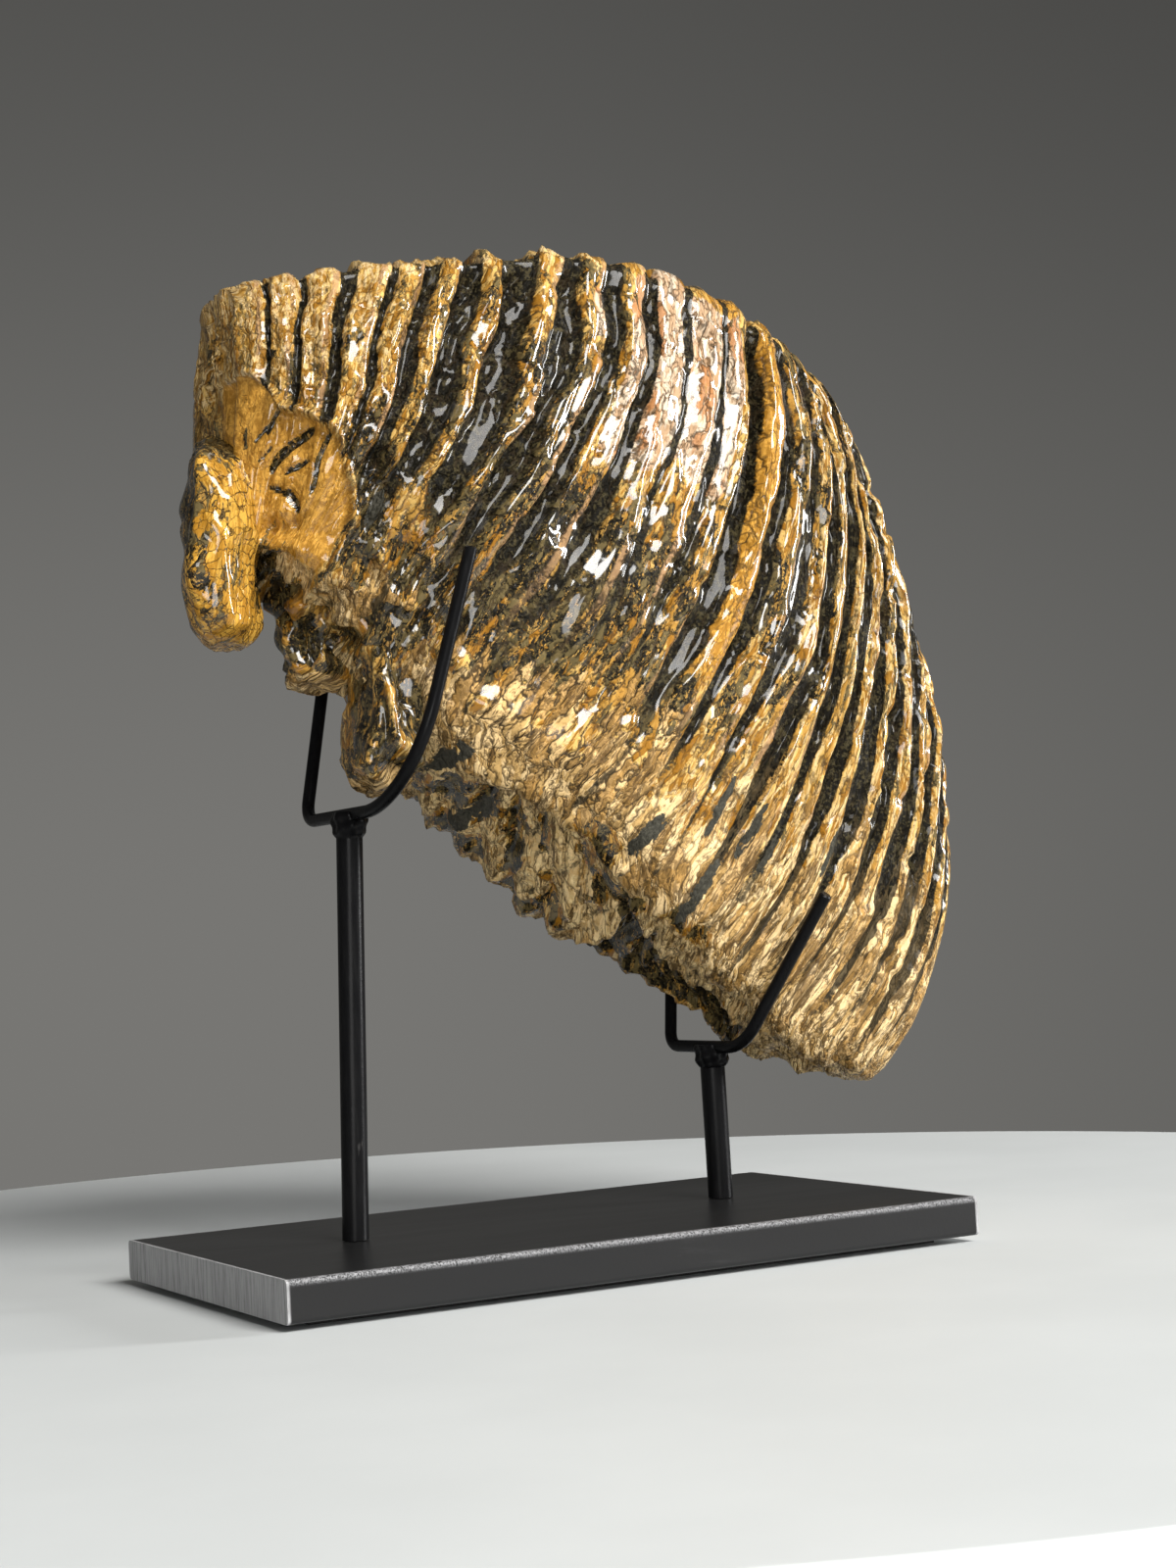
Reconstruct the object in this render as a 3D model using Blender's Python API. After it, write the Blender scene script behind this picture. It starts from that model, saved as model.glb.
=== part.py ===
"""Fossil mammoth molar resting in two wire cradles on a painted steel stand.

X runs along the base plate, Y from the shown side of the tooth to its back, Z up.
The origin is the centre of the pad's underside, where the stand meets the table.
"""
import math

import bmesh
import bpy
import numpy as np
from mathutils import Vector

# Stand (metres)
GAP = 0.0003
PLATE_LENGTH = 0.230
PLATE_WIDTH = 0.130
PLATE_THICKNESS = 0.012
PLATE_EDGE_RADIUS = 0.0015
PAD_MARGIN = 0.010
PAD_THICKNESS = 0.0017
PLATE_BOTTOM = PAD_THICKNESS + GAP
PLATE_TOP = PLATE_BOTTOM + PLATE_THICKNESS
POST_RADIUS = 0.004
WIRE_RADIUS = 0.002
WIRE_SIDES = 12
WELD_BEAD_RADIUS = 0.0055
TALL_POST_FOOT = (-0.0664, 0.0002)
TALL_SADDLE = (-0.0624, 0.000, 0.1420)
SHORT_POST_FOOT = (0.0630, 0.0017)
SHORT_SADDLE = (0.0617, 0.0005, 0.0640)
CRADLE_LEAN = 0.28
# Bends of each cradle in its own leaning plane: (y, height above the saddle, bend radius)
TALL_BENDS = ((0.0470, 0.056, 0.0), (0.0330, -0.001, 0.009), (-0.0440, -0.001, 0.034), (-0.0497, 0.073, 0.0))
SHORT_BENDS = ((0.0395, 0.040, 0.0), (0.0250, -0.001, 0.007), (-0.0195, -0.001, 0.016), (-0.0515, 0.0460, 0.0))

# Tooth: 25 upright enamel plates, counted from the front root to the far end (metres)
LAMELLAE = 25
WANDER = 0.25
ROOT_TURN = 0.30
KEY_PLATES = (0, 2, 4, 6, 8, 10, 13, 16, 19, 22, 25)
BITE_X = (-0.099, -0.081, -0.053, -0.028, 0.006, 0.034, 0.070, 0.089, 0.103, 0.128, 0.144)
BITE_Z = (0.297, 0.301, 0.306, 0.310, 0.315, 0.312, 0.301, 0.286, 0.269, 0.206, 0.140)
ROOT_X = (-0.101, -0.095, -0.087, -0.076, -0.063, -0.046, -0.004, 0.031, 0.058, 0.086, 0.116)
ROOT_Z = (0.218, 0.214, 0.210, 0.202, 0.184, 0.160, 0.136, 0.103, 0.074, 0.058, 0.048)
PLATE_LEAN = (-5, -15, -25, -20, -14, -12, -4, 12, 17, 15, 11)
BITE_HALF_WIDTH = (0.026, 0.034, 0.040, 0.042, 0.043, 0.043, 0.042, 0.041, 0.040, 0.036, 0.028)
ROOT_FRONT = (0.026, 0.026, 0.027, 0.028, 0.030, 0.032, 0.039, 0.034, 0.027, 0.024, 0.020)
ROOT_BACK = (0.020, 0.021, 0.022, 0.024, 0.026, 0.028, 0.034, 0.032, 0.023, 0.022, 0.018)
WAIST = 0.47
COLUMNS_PER_PLATE = 3
ROWS = 16
LAYERS = 6


def through(keys, values, at):
    """Smooth curve through keyed values: cubic pieces with the mean slope of their neighbours."""
    k = np.asarray(keys, float)
    v = np.asarray(values, float)
    slope = np.gradient(v, k)
    i = np.clip(np.searchsorted(k, at, side="right") - 1, 0, len(k) - 2)
    span = k[i + 1] - k[i]
    f = (at - k[i]) / span
    start = (1 + 2 * f) * (1 - f) ** 2 * v[i] + f * (1 - f) ** 2 * span * slope[i]
    end = f * f * (3 - 2 * f) * v[i + 1] + f * f * (f - 1) * span * slope[i + 1]
    return start + end


def ease(x, low, high):
    """0 below low, 1 above high, an S curve between."""
    f = np.clip((x - low) / (high - low), 0, 1)
    return f * f * (3 - 2 * f)


def grain(x, y, z, seed):
    """Smooth noise from -1 to 1: every whole-number corner has a value from its own sine."""
    cell = np.floor(np.stack([x, y, z], -1))
    part = np.stack([x, y, z], -1) - cell
    part = part * part * (3 - 2 * part)
    total = 0.0
    for corner in range(8):
        step = np.array([corner & 1, corner >> 1 & 1, corner >> 2 & 1])
        mark = np.sin((cell + step) @ np.array([12.9898, 78.233, 37.719]) + seed * 4.7) * 43758.5453
        weight = np.prod(np.where(step == 1, part, 1 - part), -1)
        total = total + weight * (mark - np.floor(mark))
    return 2 * total - 1


def box_skin(n, m, k):
    """Whole-number points on the skin of an n x m x k block, and its quads, turned outwards."""
    size = (n, m, k)
    corners = []
    for axis in range(3):
        second = (axis + 1) % 3
        third = (axis + 2) % 3
        i, j = np.meshgrid(np.arange(size[second]), np.arange(size[third]), indexing="ij")
        for side in (0, size[axis]):
            ring = [(0, 0), (1, 0), (1, 1), (0, 1)]
            if side == 0:
                ring.reverse()
            quad = np.zeros(i.shape + (4, 3), int)
            for c, (di, dj) in enumerate(ring):
                quad[..., c, axis] = side
                quad[..., c, second] = i + di
                quad[..., c, third] = j + dj
            corners.append(quad.reshape(-1, 4, 3))
    corners = np.concatenate(corners)
    key = (corners[..., 0] * (m + 1) + corners[..., 1]) * (k + 1) + corners[..., 2]
    unique, index = np.unique(key, return_inverse=True)
    points = np.stack([unique // ((m + 1) * (k + 1)), unique // (k + 1) % (m + 1), unique % (k + 1)], -1)
    return points, index.reshape(-1, 4)


def plate_point(u, t):
    """Middle of plate u at share t of the way from its biting edge to its root end."""
    bite_x = through(KEY_PLATES, BITE_X, u)
    bite_z = through(KEY_PLATES, BITE_Z, u)
    root_x = through(KEY_PLATES, ROOT_X, u)
    root_z = through(KEY_PLATES, ROOT_Z, u)
    lean = np.radians(through(KEY_PLATES, PLATE_LEAN, u))
    reach = WAIST * np.hypot(bite_x - root_x, bite_z - root_z)
    bend_x = bite_x + reach * np.sin(lean)
    bend_z = bite_z - reach * np.cos(lean)
    x = (1 - t) ** 2 * bite_x + 2 * t * (1 - t) * bend_x + t * t * root_x
    z = (1 - t) ** 2 * bite_z + 2 * t * (1 - t) * bend_z + t * t * root_z
    return x, z


def squared_round(b, c, power):
    """Move a point of the square -1..1 into a rounded square whose corners have the given power."""
    r = np.maximum(np.maximum(np.abs(b), np.abs(c)), 1e-9)
    n = np.maximum((np.abs(b) / r) ** power + (np.abs(c) / r) ** power, 1) ** (1 / power)
    return b / n, c / n


def crown_surface(points, n, m, k):
    """Plate number, share down the plate and position of every point on the crown's smooth surface."""
    u = LAMELLAE * points[:, 0] / n
    b, c = squared_round(2 * points[:, 1] / m - 1, 2 * points[:, 2] / k - 1, 7)
    t = (1 + b) / 2
    end = 1 - np.abs(0.985 * (2 * u / LAMELLAE - 1)) ** 5
    half = through(KEY_PLATES, BITE_HALF_WIDTH, u)
    root = np.where(c < 0, through(KEY_PLATES, ROOT_FRONT, u), through(KEY_PLATES, ROOT_BACK, u))
    taper = ease(t, 0.62 + 0.14 * ease(u, 13.7, 19), 1.06)
    half = (half + 0.003 * np.sin(math.pi * np.clip(t, 0, 1))) * (1 - taper) + root * taper
    facet = (1 - ease(u, 1.6, 3.4)) * ease(t, 0.40, 0.75) * ease(-c, 0.2, 0.8)
    y = half * end ** 0.2 * c * (1 - 0.2 * facet) - 0.002
    belly = 0.06 * np.exp(-((u - 13.7) / 3.2) ** 2) * ease(c, -0.7, 0.5)
    hollow = 0.030 * np.exp(-((u - 19.1) / 1.6) ** 2) * np.exp(-((c + 0.1) / 0.6) ** 2)
    reach = t * (1 + (belly - hollow) * ease(t, 0.7, 1.0))
    wander = WANDER * grain(u * 0.45, t * 4, c * 1.5, 1) * ease(t, 0.0, 0.2)
    wander = wander * ease(u, 0, 2) * ease(LAMELLAE - u, 0, 2)
    x, z = plate_point(u + wander, reach)
    return u, t, c, np.stack([x, y, z], -1)


def crown_relief(u, t, c, place):
    """Height of the plates' ridges, grooves, breaks and root folds over the smooth surface."""
    ridge = 1 - np.abs(2 * (u % 1.0) - 1) ** 3
    depth = 0.0022 + 0.0022 * (1 - ease(u, 7.6, 16.5)) + 0.0010 * grain(u * 0.9, t * 4, c, 2)
    depth = depth * (1 - 0.80 * ease(t, 0.58, 0.84)) * (1 + 0.4 * (1 - ease(t, 0.0, 0.06)))
    plate = np.floor(u + 0.001)
    proud = 0.0010 * grain(plate * 3.3, plate * 1.7, 0 * u, 6)
    chips = 0.0013 * grain(plate * 7.1, t * 9, c * 2, 3) * (1 + 0.6 * (1 - ease(t, 0.0, 0.08)))
    rough = 0.0012 * grain(place[:, 0] * 90, place[:, 1] * 90, place[:, 2] * 60, 4)
    folds = 0.0030 * grain(u * 0.8, c * 2.2, t, 5) * ease(t, 0.86, 0.97)
    slot = -0.0040 * np.exp(-((u - 13.0) / 0.30) ** 2) * ease(0.5 - t, 0.0, 0.12) * ease(-c, 0.6, 0.9)
    return depth * (ridge - 1) + proud + chips + rough + folds + slot


def new_object(name, verts, quads, material):
    mesh = bpy.data.meshes.new(name)
    mesh.from_pydata([tuple(v) for v in verts], [], [tuple(int(i) for i in q) for q in quads])
    mesh.materials.append(material)
    mesh.update()
    obj = bpy.data.objects.new(name, mesh)
    bpy.context.collection.objects.link(obj)
    return obj


def push_out(obj, height):
    """Move every vertex along its normal by its own height."""
    count = len(obj.data.vertices)
    normal = np.zeros(count * 3, np.float32)
    place = np.zeros(count * 3, np.float32)
    obj.data.vertices.foreach_get("normal", normal)
    obj.data.vertices.foreach_get("co", place)
    place = place.reshape(-1, 3) + normal.reshape(-1, 3) * height[:, None]
    obj.data.vertices.foreach_set("co", place.ravel())
    obj.data.update()


def crown(material):
    """The stack of fused plates, as one closed body."""
    n = LAMELLAE * COLUMNS_PER_PLATE
    points, quads = box_skin(n, ROWS, LAYERS)
    u, t, c, place = crown_surface(points, n, ROWS, LAYERS)
    obj = new_object("tooth", place, quads, material)
    push_out(obj, crown_relief(u, t, c, place))
    return obj


def root(name, spine, widths, depths, rings, sides, seed, material):
    """A root: an oval tube along a spine, rounded at both ends, with shallow grooves down it."""
    points, quads = box_skin(rings, sides, sides)
    a = 2 * points[:, 0] / rings - 1
    b, c = squared_round(2 * points[:, 1] / sides - 1, 2 * points[:, 2] / sides - 1, 2.4)
    keys = np.linspace(-1, 1, len(spine))
    end = (1 - np.abs(0.97 * a) ** 3) ** (1 / 3)
    centre = np.stack([through(keys, [p[i] for p in spine], a) for i in range(3)], -1)
    wide = through(keys, widths, a) / 2 * end
    deep = through(keys, depths, a) / 2 * end
    place = centre + np.stack([ROOT_TURN * deep * c - wide * b, deep * c, 0 * a], -1)
    obj = new_object(name, place, quads, material)
    groove = grain(b * 3 + seed, c * 3, a * 1.5, seed)
    lumps = grain(place[:, 0] * 120, place[:, 1] * 120, place[:, 2] * 70, seed + 1)
    push_out(obj, 0.0013 * groove + 0.0012 * lumps)
    return obj


def combine(target, other, operation):
    """Boolean of one object with a hidden second one."""
    other.hide_render = True
    other.display_type = "WIRE"
    modifier = target.modifiers.new(other.name, "BOOLEAN")
    modifier.operation = operation
    modifier.solver = "EXACT"
    modifier.object = other


def build_tooth(material):
    tooth = crown(material)
    finger = root(
        "front_root",
        ((-0.096, -0.014, 0.290), (-0.101, -0.010, 0.262), (-0.101, -0.006, 0.228), (-0.099, -0.004, 0.191)),
        (0.014, 0.019, 0.023, 0.022), (0.026, 0.034, 0.034, 0.030), 12, 4, 11, material)
    lump = root(
        "second_root", ((-0.074, 0.004, 0.232), (-0.071, 0.006, 0.205), (-0.067, 0.008, 0.1745)),
        (0.026, 0.023, 0.024), (0.044, 0.040, 0.034), 8, 4, 21, material)
    spike = root(
        "third_root",
        ((-0.057, -0.003, 0.236), (-0.053, -0.004, 0.205), (-0.050, -0.005, 0.175), (-0.0535, -0.004, 0.1462)),
        (0.018, 0.024, 0.026, 0.024), (0.066, 0.074, 0.070, 0.058), 10, 5, 31, material)
    for other in (finger, lump, spike):
        combine(tooth, other, "UNION")
    return tooth


def cradle_route(saddle, bends):
    """Centre line of a cradle wire: straight runs joined by bends, in a plane that leans towards +X."""
    corners = []
    for y, rise, radius in bends:
        corners.append((Vector((saddle[0] + CRADLE_LEAN * rise, saddle[1] + y, saddle[2] + rise)), radius))
    route = [corners[0][0]]
    for i in range(1, len(corners) - 1):
        corner, radius = corners[i]
        before = (corners[i - 1][0] - corner).normalized()
        after = (corners[i + 1][0] - corner).normalized()
        half = before.angle(after) / 2
        cut = radius / math.tan(half)
        centre = corner + (before + after).normalized() * (radius / math.sin(half))
        start = corner + before * cut - centre
        end = corner + after * cut - centre
        sweep = start.angle(end)
        steps = max(5, round(sweep * math.sqrt(radius) * 45))
        for s in range(steps + 1):
            share = s / steps
            arm = start * math.sin((1 - share) * sweep) + end * math.sin(share * sweep)
            route.append(centre + arm / math.sin(sweep))
    route.append(corners[-1][0])
    return route


def wire(name, route, radius, material):
    """Round wire swept along a flat route: a ring square to the route at every point, and flat ends."""
    flat = Vector((1, 0, -CRADLE_LEAN)).normalized()
    mesh = bpy.data.meshes.new(name)
    bm = bmesh.new()
    rings = []
    for i, place in enumerate(route):
        ahead = (route[min(i + 1, len(route) - 1)] - route[max(i - 1, 0)]).normalized()
        across = ahead.cross(flat)
        ring = []
        for s in range(WIRE_SIDES):
            angle = 2 * math.pi * s / WIRE_SIDES
            ring.append(bm.verts.new(place + radius * (across * math.cos(angle) + flat * math.sin(angle))))
        rings.append(ring)
    for one, two in zip(rings, rings[1:]):
        for s in range(WIRE_SIDES):
            e = (s + 1) % WIRE_SIDES
            bm.faces.new((one[s], one[e], two[e], two[s]))
    bm.faces.new(list(reversed(rings[0])))
    bm.faces.new(rings[-1])
    bmesh.ops.recalc_face_normals(bm, faces=bm.faces)
    bm.to_mesh(mesh)
    bm.free()
    mesh.materials.append(material)
    obj = bpy.data.objects.new(name, mesh)
    bpy.context.collection.objects.link(obj)
    return obj


def post(name, foot, saddle, route, material):
    """Round bar from the plate to its cradle, with the weld bead that holds the wire."""
    low = Vector((foot[0], foot[1], PLATE_TOP + GAP))
    high = Vector(saddle)
    mesh = bpy.data.meshes.new(name)
    bm = bmesh.new()
    bmesh.ops.create_cone(bm, cap_ends=True, segments=20, radius1=POST_RADIUS, radius2=POST_RADIUS,
                          depth=(high - low).length)
    bmesh.ops.translate(bm, verts=bm.verts, vec=(0, 0, (high - low).length / 2))
    bm.to_mesh(mesh)
    bm.free()
    mesh.materials.append(material)
    obj = bpy.data.objects.new(name, mesh)
    bpy.context.collection.objects.link(obj)
    obj.location = low
    obj.rotation_euler = (high - low).to_track_quat("Z", "Y").to_euler()
    bead_mesh = bpy.data.meshes.new(name + "_bead")
    bm = bmesh.new()
    bmesh.ops.create_uvsphere(bm, u_segments=16, v_segments=8, radius=WELD_BEAD_RADIUS)
    bmesh.ops.scale(bm, verts=bm.verts, vec=(1, 1.25, 0.8))
    bm.to_mesh(bead_mesh)
    bm.free()
    bead = bpy.data.objects.new(name + "_bead", bead_mesh)
    bpy.context.collection.objects.link(bead)
    bead.location = high - Vector((0, 0, 0.0032))
    combine(obj, bead, "UNION")
    channel = wire(name + "_channel", route, WIRE_RADIUS + GAP, material)
    combine(obj, channel, "DIFFERENCE")
    top = bpy.data.meshes.new(name + "_trim")
    bm = bmesh.new()
    bmesh.ops.create_cube(bm, size=0.03)
    bm.to_mesh(top)
    bm.free()
    trim = bpy.data.objects.new(name + "_trim", top)
    bpy.context.collection.objects.link(trim)
    trim.location = high + Vector((0, 0, 0.015 + 0.0003))
    combine(obj, trim, "DIFFERENCE")
    return obj


def slab(name, length, width, bottom, thickness, edge_radius, material):
    """Flat bar or sheet: its long edges are rounded, and its sawn ends are square."""
    mesh = bpy.data.meshes.new(name)
    bm = bmesh.new()
    bmesh.ops.create_cube(bm, size=1)
    bmesh.ops.scale(bm, verts=bm.verts, vec=(length, width, thickness))
    if edge_radius > 0:
        long_edges = [e for e in bm.edges if abs(e.verts[0].co.x - e.verts[1].co.x) > length / 2]
        bmesh.ops.bevel(bm, geom=long_edges, offset=edge_radius, segments=4, profile=0.5, affect="EDGES")
    bm.to_mesh(mesh)
    bm.free()
    mesh.materials.append(material)
    obj = bpy.data.objects.new(name, mesh)
    bpy.context.collection.objects.link(obj)
    obj.location = (0, 0, bottom + thickness / 2)
    return obj


def material(name, colour, roughness, metallic):
    mat = bpy.data.materials.new(name)
    mat.use_nodes = True
    shader = mat.node_tree.nodes["Principled BSDF"]
    shader.inputs["Base Color"].default_value = (*colour, 1)
    shader.inputs["Roughness"].default_value = roughness
    shader.inputs["Metallic"].default_value = metallic
    return mat


def build_stand(paint, bare, felt):
    slab("base_pad", PLATE_LENGTH - 2 * PAD_MARGIN, PLATE_WIDTH - 2 * PAD_MARGIN, 0, PAD_THICKNESS, 0, felt)
    slab("base_plate", PLATE_LENGTH, PLATE_WIDTH, PLATE_BOTTOM, PLATE_THICKNESS, PLATE_EDGE_RADIUS, bare)
    for side, foot, saddle, bends in (("tall", TALL_POST_FOOT, TALL_SADDLE, TALL_BENDS),
                                      ("short", SHORT_POST_FOOT, SHORT_SADDLE, SHORT_BENDS)):
        route = cradle_route(saddle, bends)
        wire("cradle_" + side, route, WIRE_RADIUS, paint)
        post("post_" + side, foot, saddle, route, paint)


def smooth_round_pieces():
    for obj in bpy.data.objects:
        if obj.type == "MESH":
            obj.data.shade_smooth()
            obj.data.set_sharp_from_angle(angle=math.radians(35))


for old in list(bpy.data.objects):
    bpy.data.objects.remove(old)
build_stand(material("black_paint", (0.012, 0.012, 0.012), 0.45, 0.0),
            material("black_plate_paint", (0.015, 0.015, 0.015), 0.38, 0.0),
            material("black_felt", (0.010, 0.010, 0.010), 0.95, 0.0))
build_tooth(material("varnished_fossil", (0.26, 0.15, 0.05), 0.30, 0.0))
smooth_round_pieces()
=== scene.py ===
"""A fossil mammoth molar in two wire cradles, on a black steel stand."""
import math
from types import SimpleNamespace

import bpy
import numpy as np
from mathutils import Matrix, Vector


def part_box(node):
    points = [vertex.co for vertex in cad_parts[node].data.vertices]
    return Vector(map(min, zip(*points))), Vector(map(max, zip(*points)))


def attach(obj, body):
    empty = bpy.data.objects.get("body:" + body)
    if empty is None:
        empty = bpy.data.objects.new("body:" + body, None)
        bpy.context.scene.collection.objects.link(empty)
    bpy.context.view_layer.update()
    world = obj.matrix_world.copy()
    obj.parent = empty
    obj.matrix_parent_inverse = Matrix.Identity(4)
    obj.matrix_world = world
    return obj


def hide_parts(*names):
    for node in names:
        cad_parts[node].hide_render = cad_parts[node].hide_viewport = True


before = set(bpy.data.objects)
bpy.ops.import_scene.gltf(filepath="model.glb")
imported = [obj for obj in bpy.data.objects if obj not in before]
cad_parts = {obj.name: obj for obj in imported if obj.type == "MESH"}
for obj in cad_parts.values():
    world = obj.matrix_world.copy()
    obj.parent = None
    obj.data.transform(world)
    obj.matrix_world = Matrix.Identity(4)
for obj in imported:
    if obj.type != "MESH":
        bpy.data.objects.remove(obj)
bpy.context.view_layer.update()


# ---- The view and the room ----
# The camera stands a little left of the stand and looks slightly up at the tooth. A large
# soft light hangs high in front, a tall narrow one stands on the right and a weak low one on
# the left. The table top is round and pale, and the room is grey.
CAMERA_PLACE = (-0.35843, -0.67616, 0.10043)
YAW, PITCH, ROLL = math.radians(29.279), math.radians(3.595), math.radians(-2.961)
CAMERA_LENS = 55.98
ROOM_LOW, ROOM_HIGH = (0.185, 0.182, 0.172), (0.078, 0.077, 0.073)
TABLE_CENTRE = (0.016, 0.028)
TABLE_RADIUS = 0.409
TABLE_PALE, TABLE_PALER = (0.505, 0.525, 0.525), (0.535, 0.555, 0.555)

forward = Vector((math.sin(YAW) * math.cos(PITCH), math.cos(YAW) * math.cos(PITCH), math.sin(PITCH)))
level = Vector((math.cos(YAW), -math.sin(YAW), 0))
above = level.cross(forward)
right = math.cos(ROLL) * level + math.sin(ROLL) * above
up = math.cos(ROLL) * above - math.sin(ROLL) * level
camera = bpy.data.objects.new("camera", bpy.data.cameras.new("camera"))
bpy.context.collection.objects.link(camera)
turned = Matrix((right, up, -forward)).transposed().to_4x4()
camera.matrix_world = Matrix.Translation(CAMERA_PLACE) @ turned
camera.data.sensor_width = 36
camera.data.lens = CAMERA_LENS
camera.data.clip_start = 0.01
bpy.context.scene.camera = camera
# The default view transform would grey the ochres and lift the black.
bpy.context.scene.view_settings.view_transform = "Standard"


def soft_light(name, place, aim, size, watts, colour):
    """A rectangular panel light at a place, turned to face another point."""
    panel = bpy.data.lights.new(name, "AREA")
    panel.shape = "RECTANGLE"
    panel.size, panel.size_y = size
    panel.energy = watts
    panel.color = colour
    holder = bpy.data.objects.new(name, panel)
    bpy.context.collection.objects.link(holder)
    holder.location = place
    holder.rotation_euler = (Vector(aim) - Vector(place)).to_track_quat("-Z", "Y").to_euler()


soft_light("key_light", (0.34, -2.25, 1.84), (0, 0, 0.19), (1.45, 1.35), 150, (1.0, 0.985, 0.96))
soft_light("right_strip", (2.8, -1.2, 0.66), (0, 0, 0.17), (0.38, 1.2), 122, (1.0, 1.0, 1.0))
soft_light("left_fill", (-0.8, -1.3, 0.08), (0, 0, 0.19), (0.6, 0.6), 10, (1.0, 0.99, 0.97))


class Reading:
    """A shader socket in a sum: each operator on it adds the Math node of that name."""

    def __init__(self, finish, socket):
        self.finish, self.socket = finish, socket

    def maths(self, operation, *others):
        """One Math node that takes this socket first and then the others."""
        sockets = dict(enumerate((self, *others)))
        return self.finish.node("ShaderNodeMath", {"operation": operation}, sockets)

    def __add__(self, other):
        return self.maths("ADD", other)

    def __sub__(self, other):
        return self.maths("SUBTRACT", other)

    def __rsub__(self, other):
        return self.finish.node("ShaderNodeMath", {"operation": "SUBTRACT"}, {0: other, 1: self})

    def __mul__(self, other):
        return self.maths("MULTIPLY", other)

    __radd__ = __add__
    __rmul__ = __mul__

    def between(self, low, high, start=0.0, end=1.0):
        """From start at low to end at high by an S curve, and level outside them."""
        return self.finish.node("ShaderNodeMapRange", {"interpolation_type": "SMOOTHSTEP"},
                                {"Value": self, "From Min": low, "From Max": high,
                                 "To Min": start, "To Max": end})


class Finish:
    """The nodes of a material, or of the room: node() adds any node, and coat() joins values to
    the one shader."""

    def __init__(self, name, blocks=bpy.data.materials, shader="Principled BSDF"):
        self.block = blocks.new(name)
        self.block.use_nodes = True
        self.tree = self.block.node_tree
        self.shader = self.tree.nodes[shader]

    def join(self, socket, value):
        """Link a reading to the socket, or set a constant on it."""
        if isinstance(value, Reading):
            self.tree.links.new(value.socket, socket)
        else:
            socket.default_value = value

    def node(self, kind, settings=None, sockets=None, out=0):
        """Add a node with its settings and sockets by name, and read one of its outputs."""
        node = self.tree.nodes.new(kind)
        for name, value in (settings or {}).items():
            setattr(node, name, value)
        for name, value in (sockets or {}).items():
            self.join(node.inputs[name], value)
        return Reading(self, node.outputs[out])

    def place(self, kind="Object"):
        """The point that is being shaded, by default in the piece's own metres."""
        return self.node("ShaderNodeTexCoord", out=kind)

    def axes(self, place):
        """The x, y and z of a place."""
        split = self.node("ShaderNodeSeparateXYZ", None, {0: place}).socket.node
        return [Reading(self, socket) for socket in split.outputs]

    def stretched(self, place, scale):
        """A place with each axis scaled on its own."""
        return self.node("ShaderNodeMapping", None, {"Vector": place, "Scale": scale})

    def noise(self, place, scale, detail=4.0, rough=0.55, warp=0.0):
        """Cloudy noise, mostly from 0.3 to 0.7."""
        return self.node("ShaderNodeTexNoise", None, {
            "Vector": place, "Scale": scale, "Detail": detail, "Roughness": rough, "Distortion": warp})

    def cells(self, place, scale, feature="F1", out=0):
        """Irregular cells: the distance to the middle or the edge, or a colour of the cell's own."""
        return self.node("ShaderNodeTexVoronoi", {"feature": feature},
                         {"Vector": place, "Scale": scale}, out)

    def measure(self, name):
        """A value that the mesh carries at each point."""
        return self.node("ShaderNodeAttribute", {"attribute_name": name}, out="Fac")

    def mix(self, share, one, two):
        """One colour to another by share."""
        one = (*one, 1) if isinstance(one, tuple) else one
        two = (*two, 1) if isinstance(two, tuple) else two
        return self.node("ShaderNodeMix", {"data_type": "RGBA"}, {0: share, 6: one, 7: two}, 2)

    def bump(self, height, strength, distance):
        """Small relief in the shading only."""
        return self.node("ShaderNodeBump", None,
                         {"Height": height, "Strength": strength, "Distance": distance})

    def coat(self, **sockets):
        """Join values to the shader's own sockets, and hand back the finished block."""
        for name, value in sockets.items():
            if isinstance(value, tuple):
                value = (*value, 1)
            self.join(self.shader.inputs[name.replace("_", " ")], value)
        return self.block


room = Finish("grey_room", bpy.data.worlds, "Background")
sideways, _, upwards = room.axes(room.place("Generated"))
bpy.context.scene.world = room.coat(
    Color=room.mix(upwards.between(0.0, 0.45), ROOM_LOW, ROOM_HIGH),
    Strength=sideways.between(0.35, 0.85, 1.0, 0.62))


def new_piece(name, places, faces, finish, sharp=None):
    """One mesh object at the origin from whole arrays of places and faces."""
    mesh = bpy.data.meshes.new(name)
    mesh.from_pydata(places, [], faces)
    mesh.materials.append(finish)
    mesh.shade_smooth()
    if sharp:
        mesh.set_sharp_from_angle(angle=math.radians(sharp))
    piece = bpy.data.objects.new(name, mesh)
    bpy.context.collection.objects.link(piece)
    return piece


def ring_quads(rings, sides):
    """Quads between neighbouring closed rings of points."""
    i, j = np.meshgrid(np.arange(rings - 1), np.arange(sides), indexing="ij")
    k = (j + 1) % sides
    corners = (i * sides + j, i * sides + k, (i + 1) * sides + k, (i + 1) * sides + j)
    return np.stack(corners, -1).reshape(-1, 4)


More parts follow.
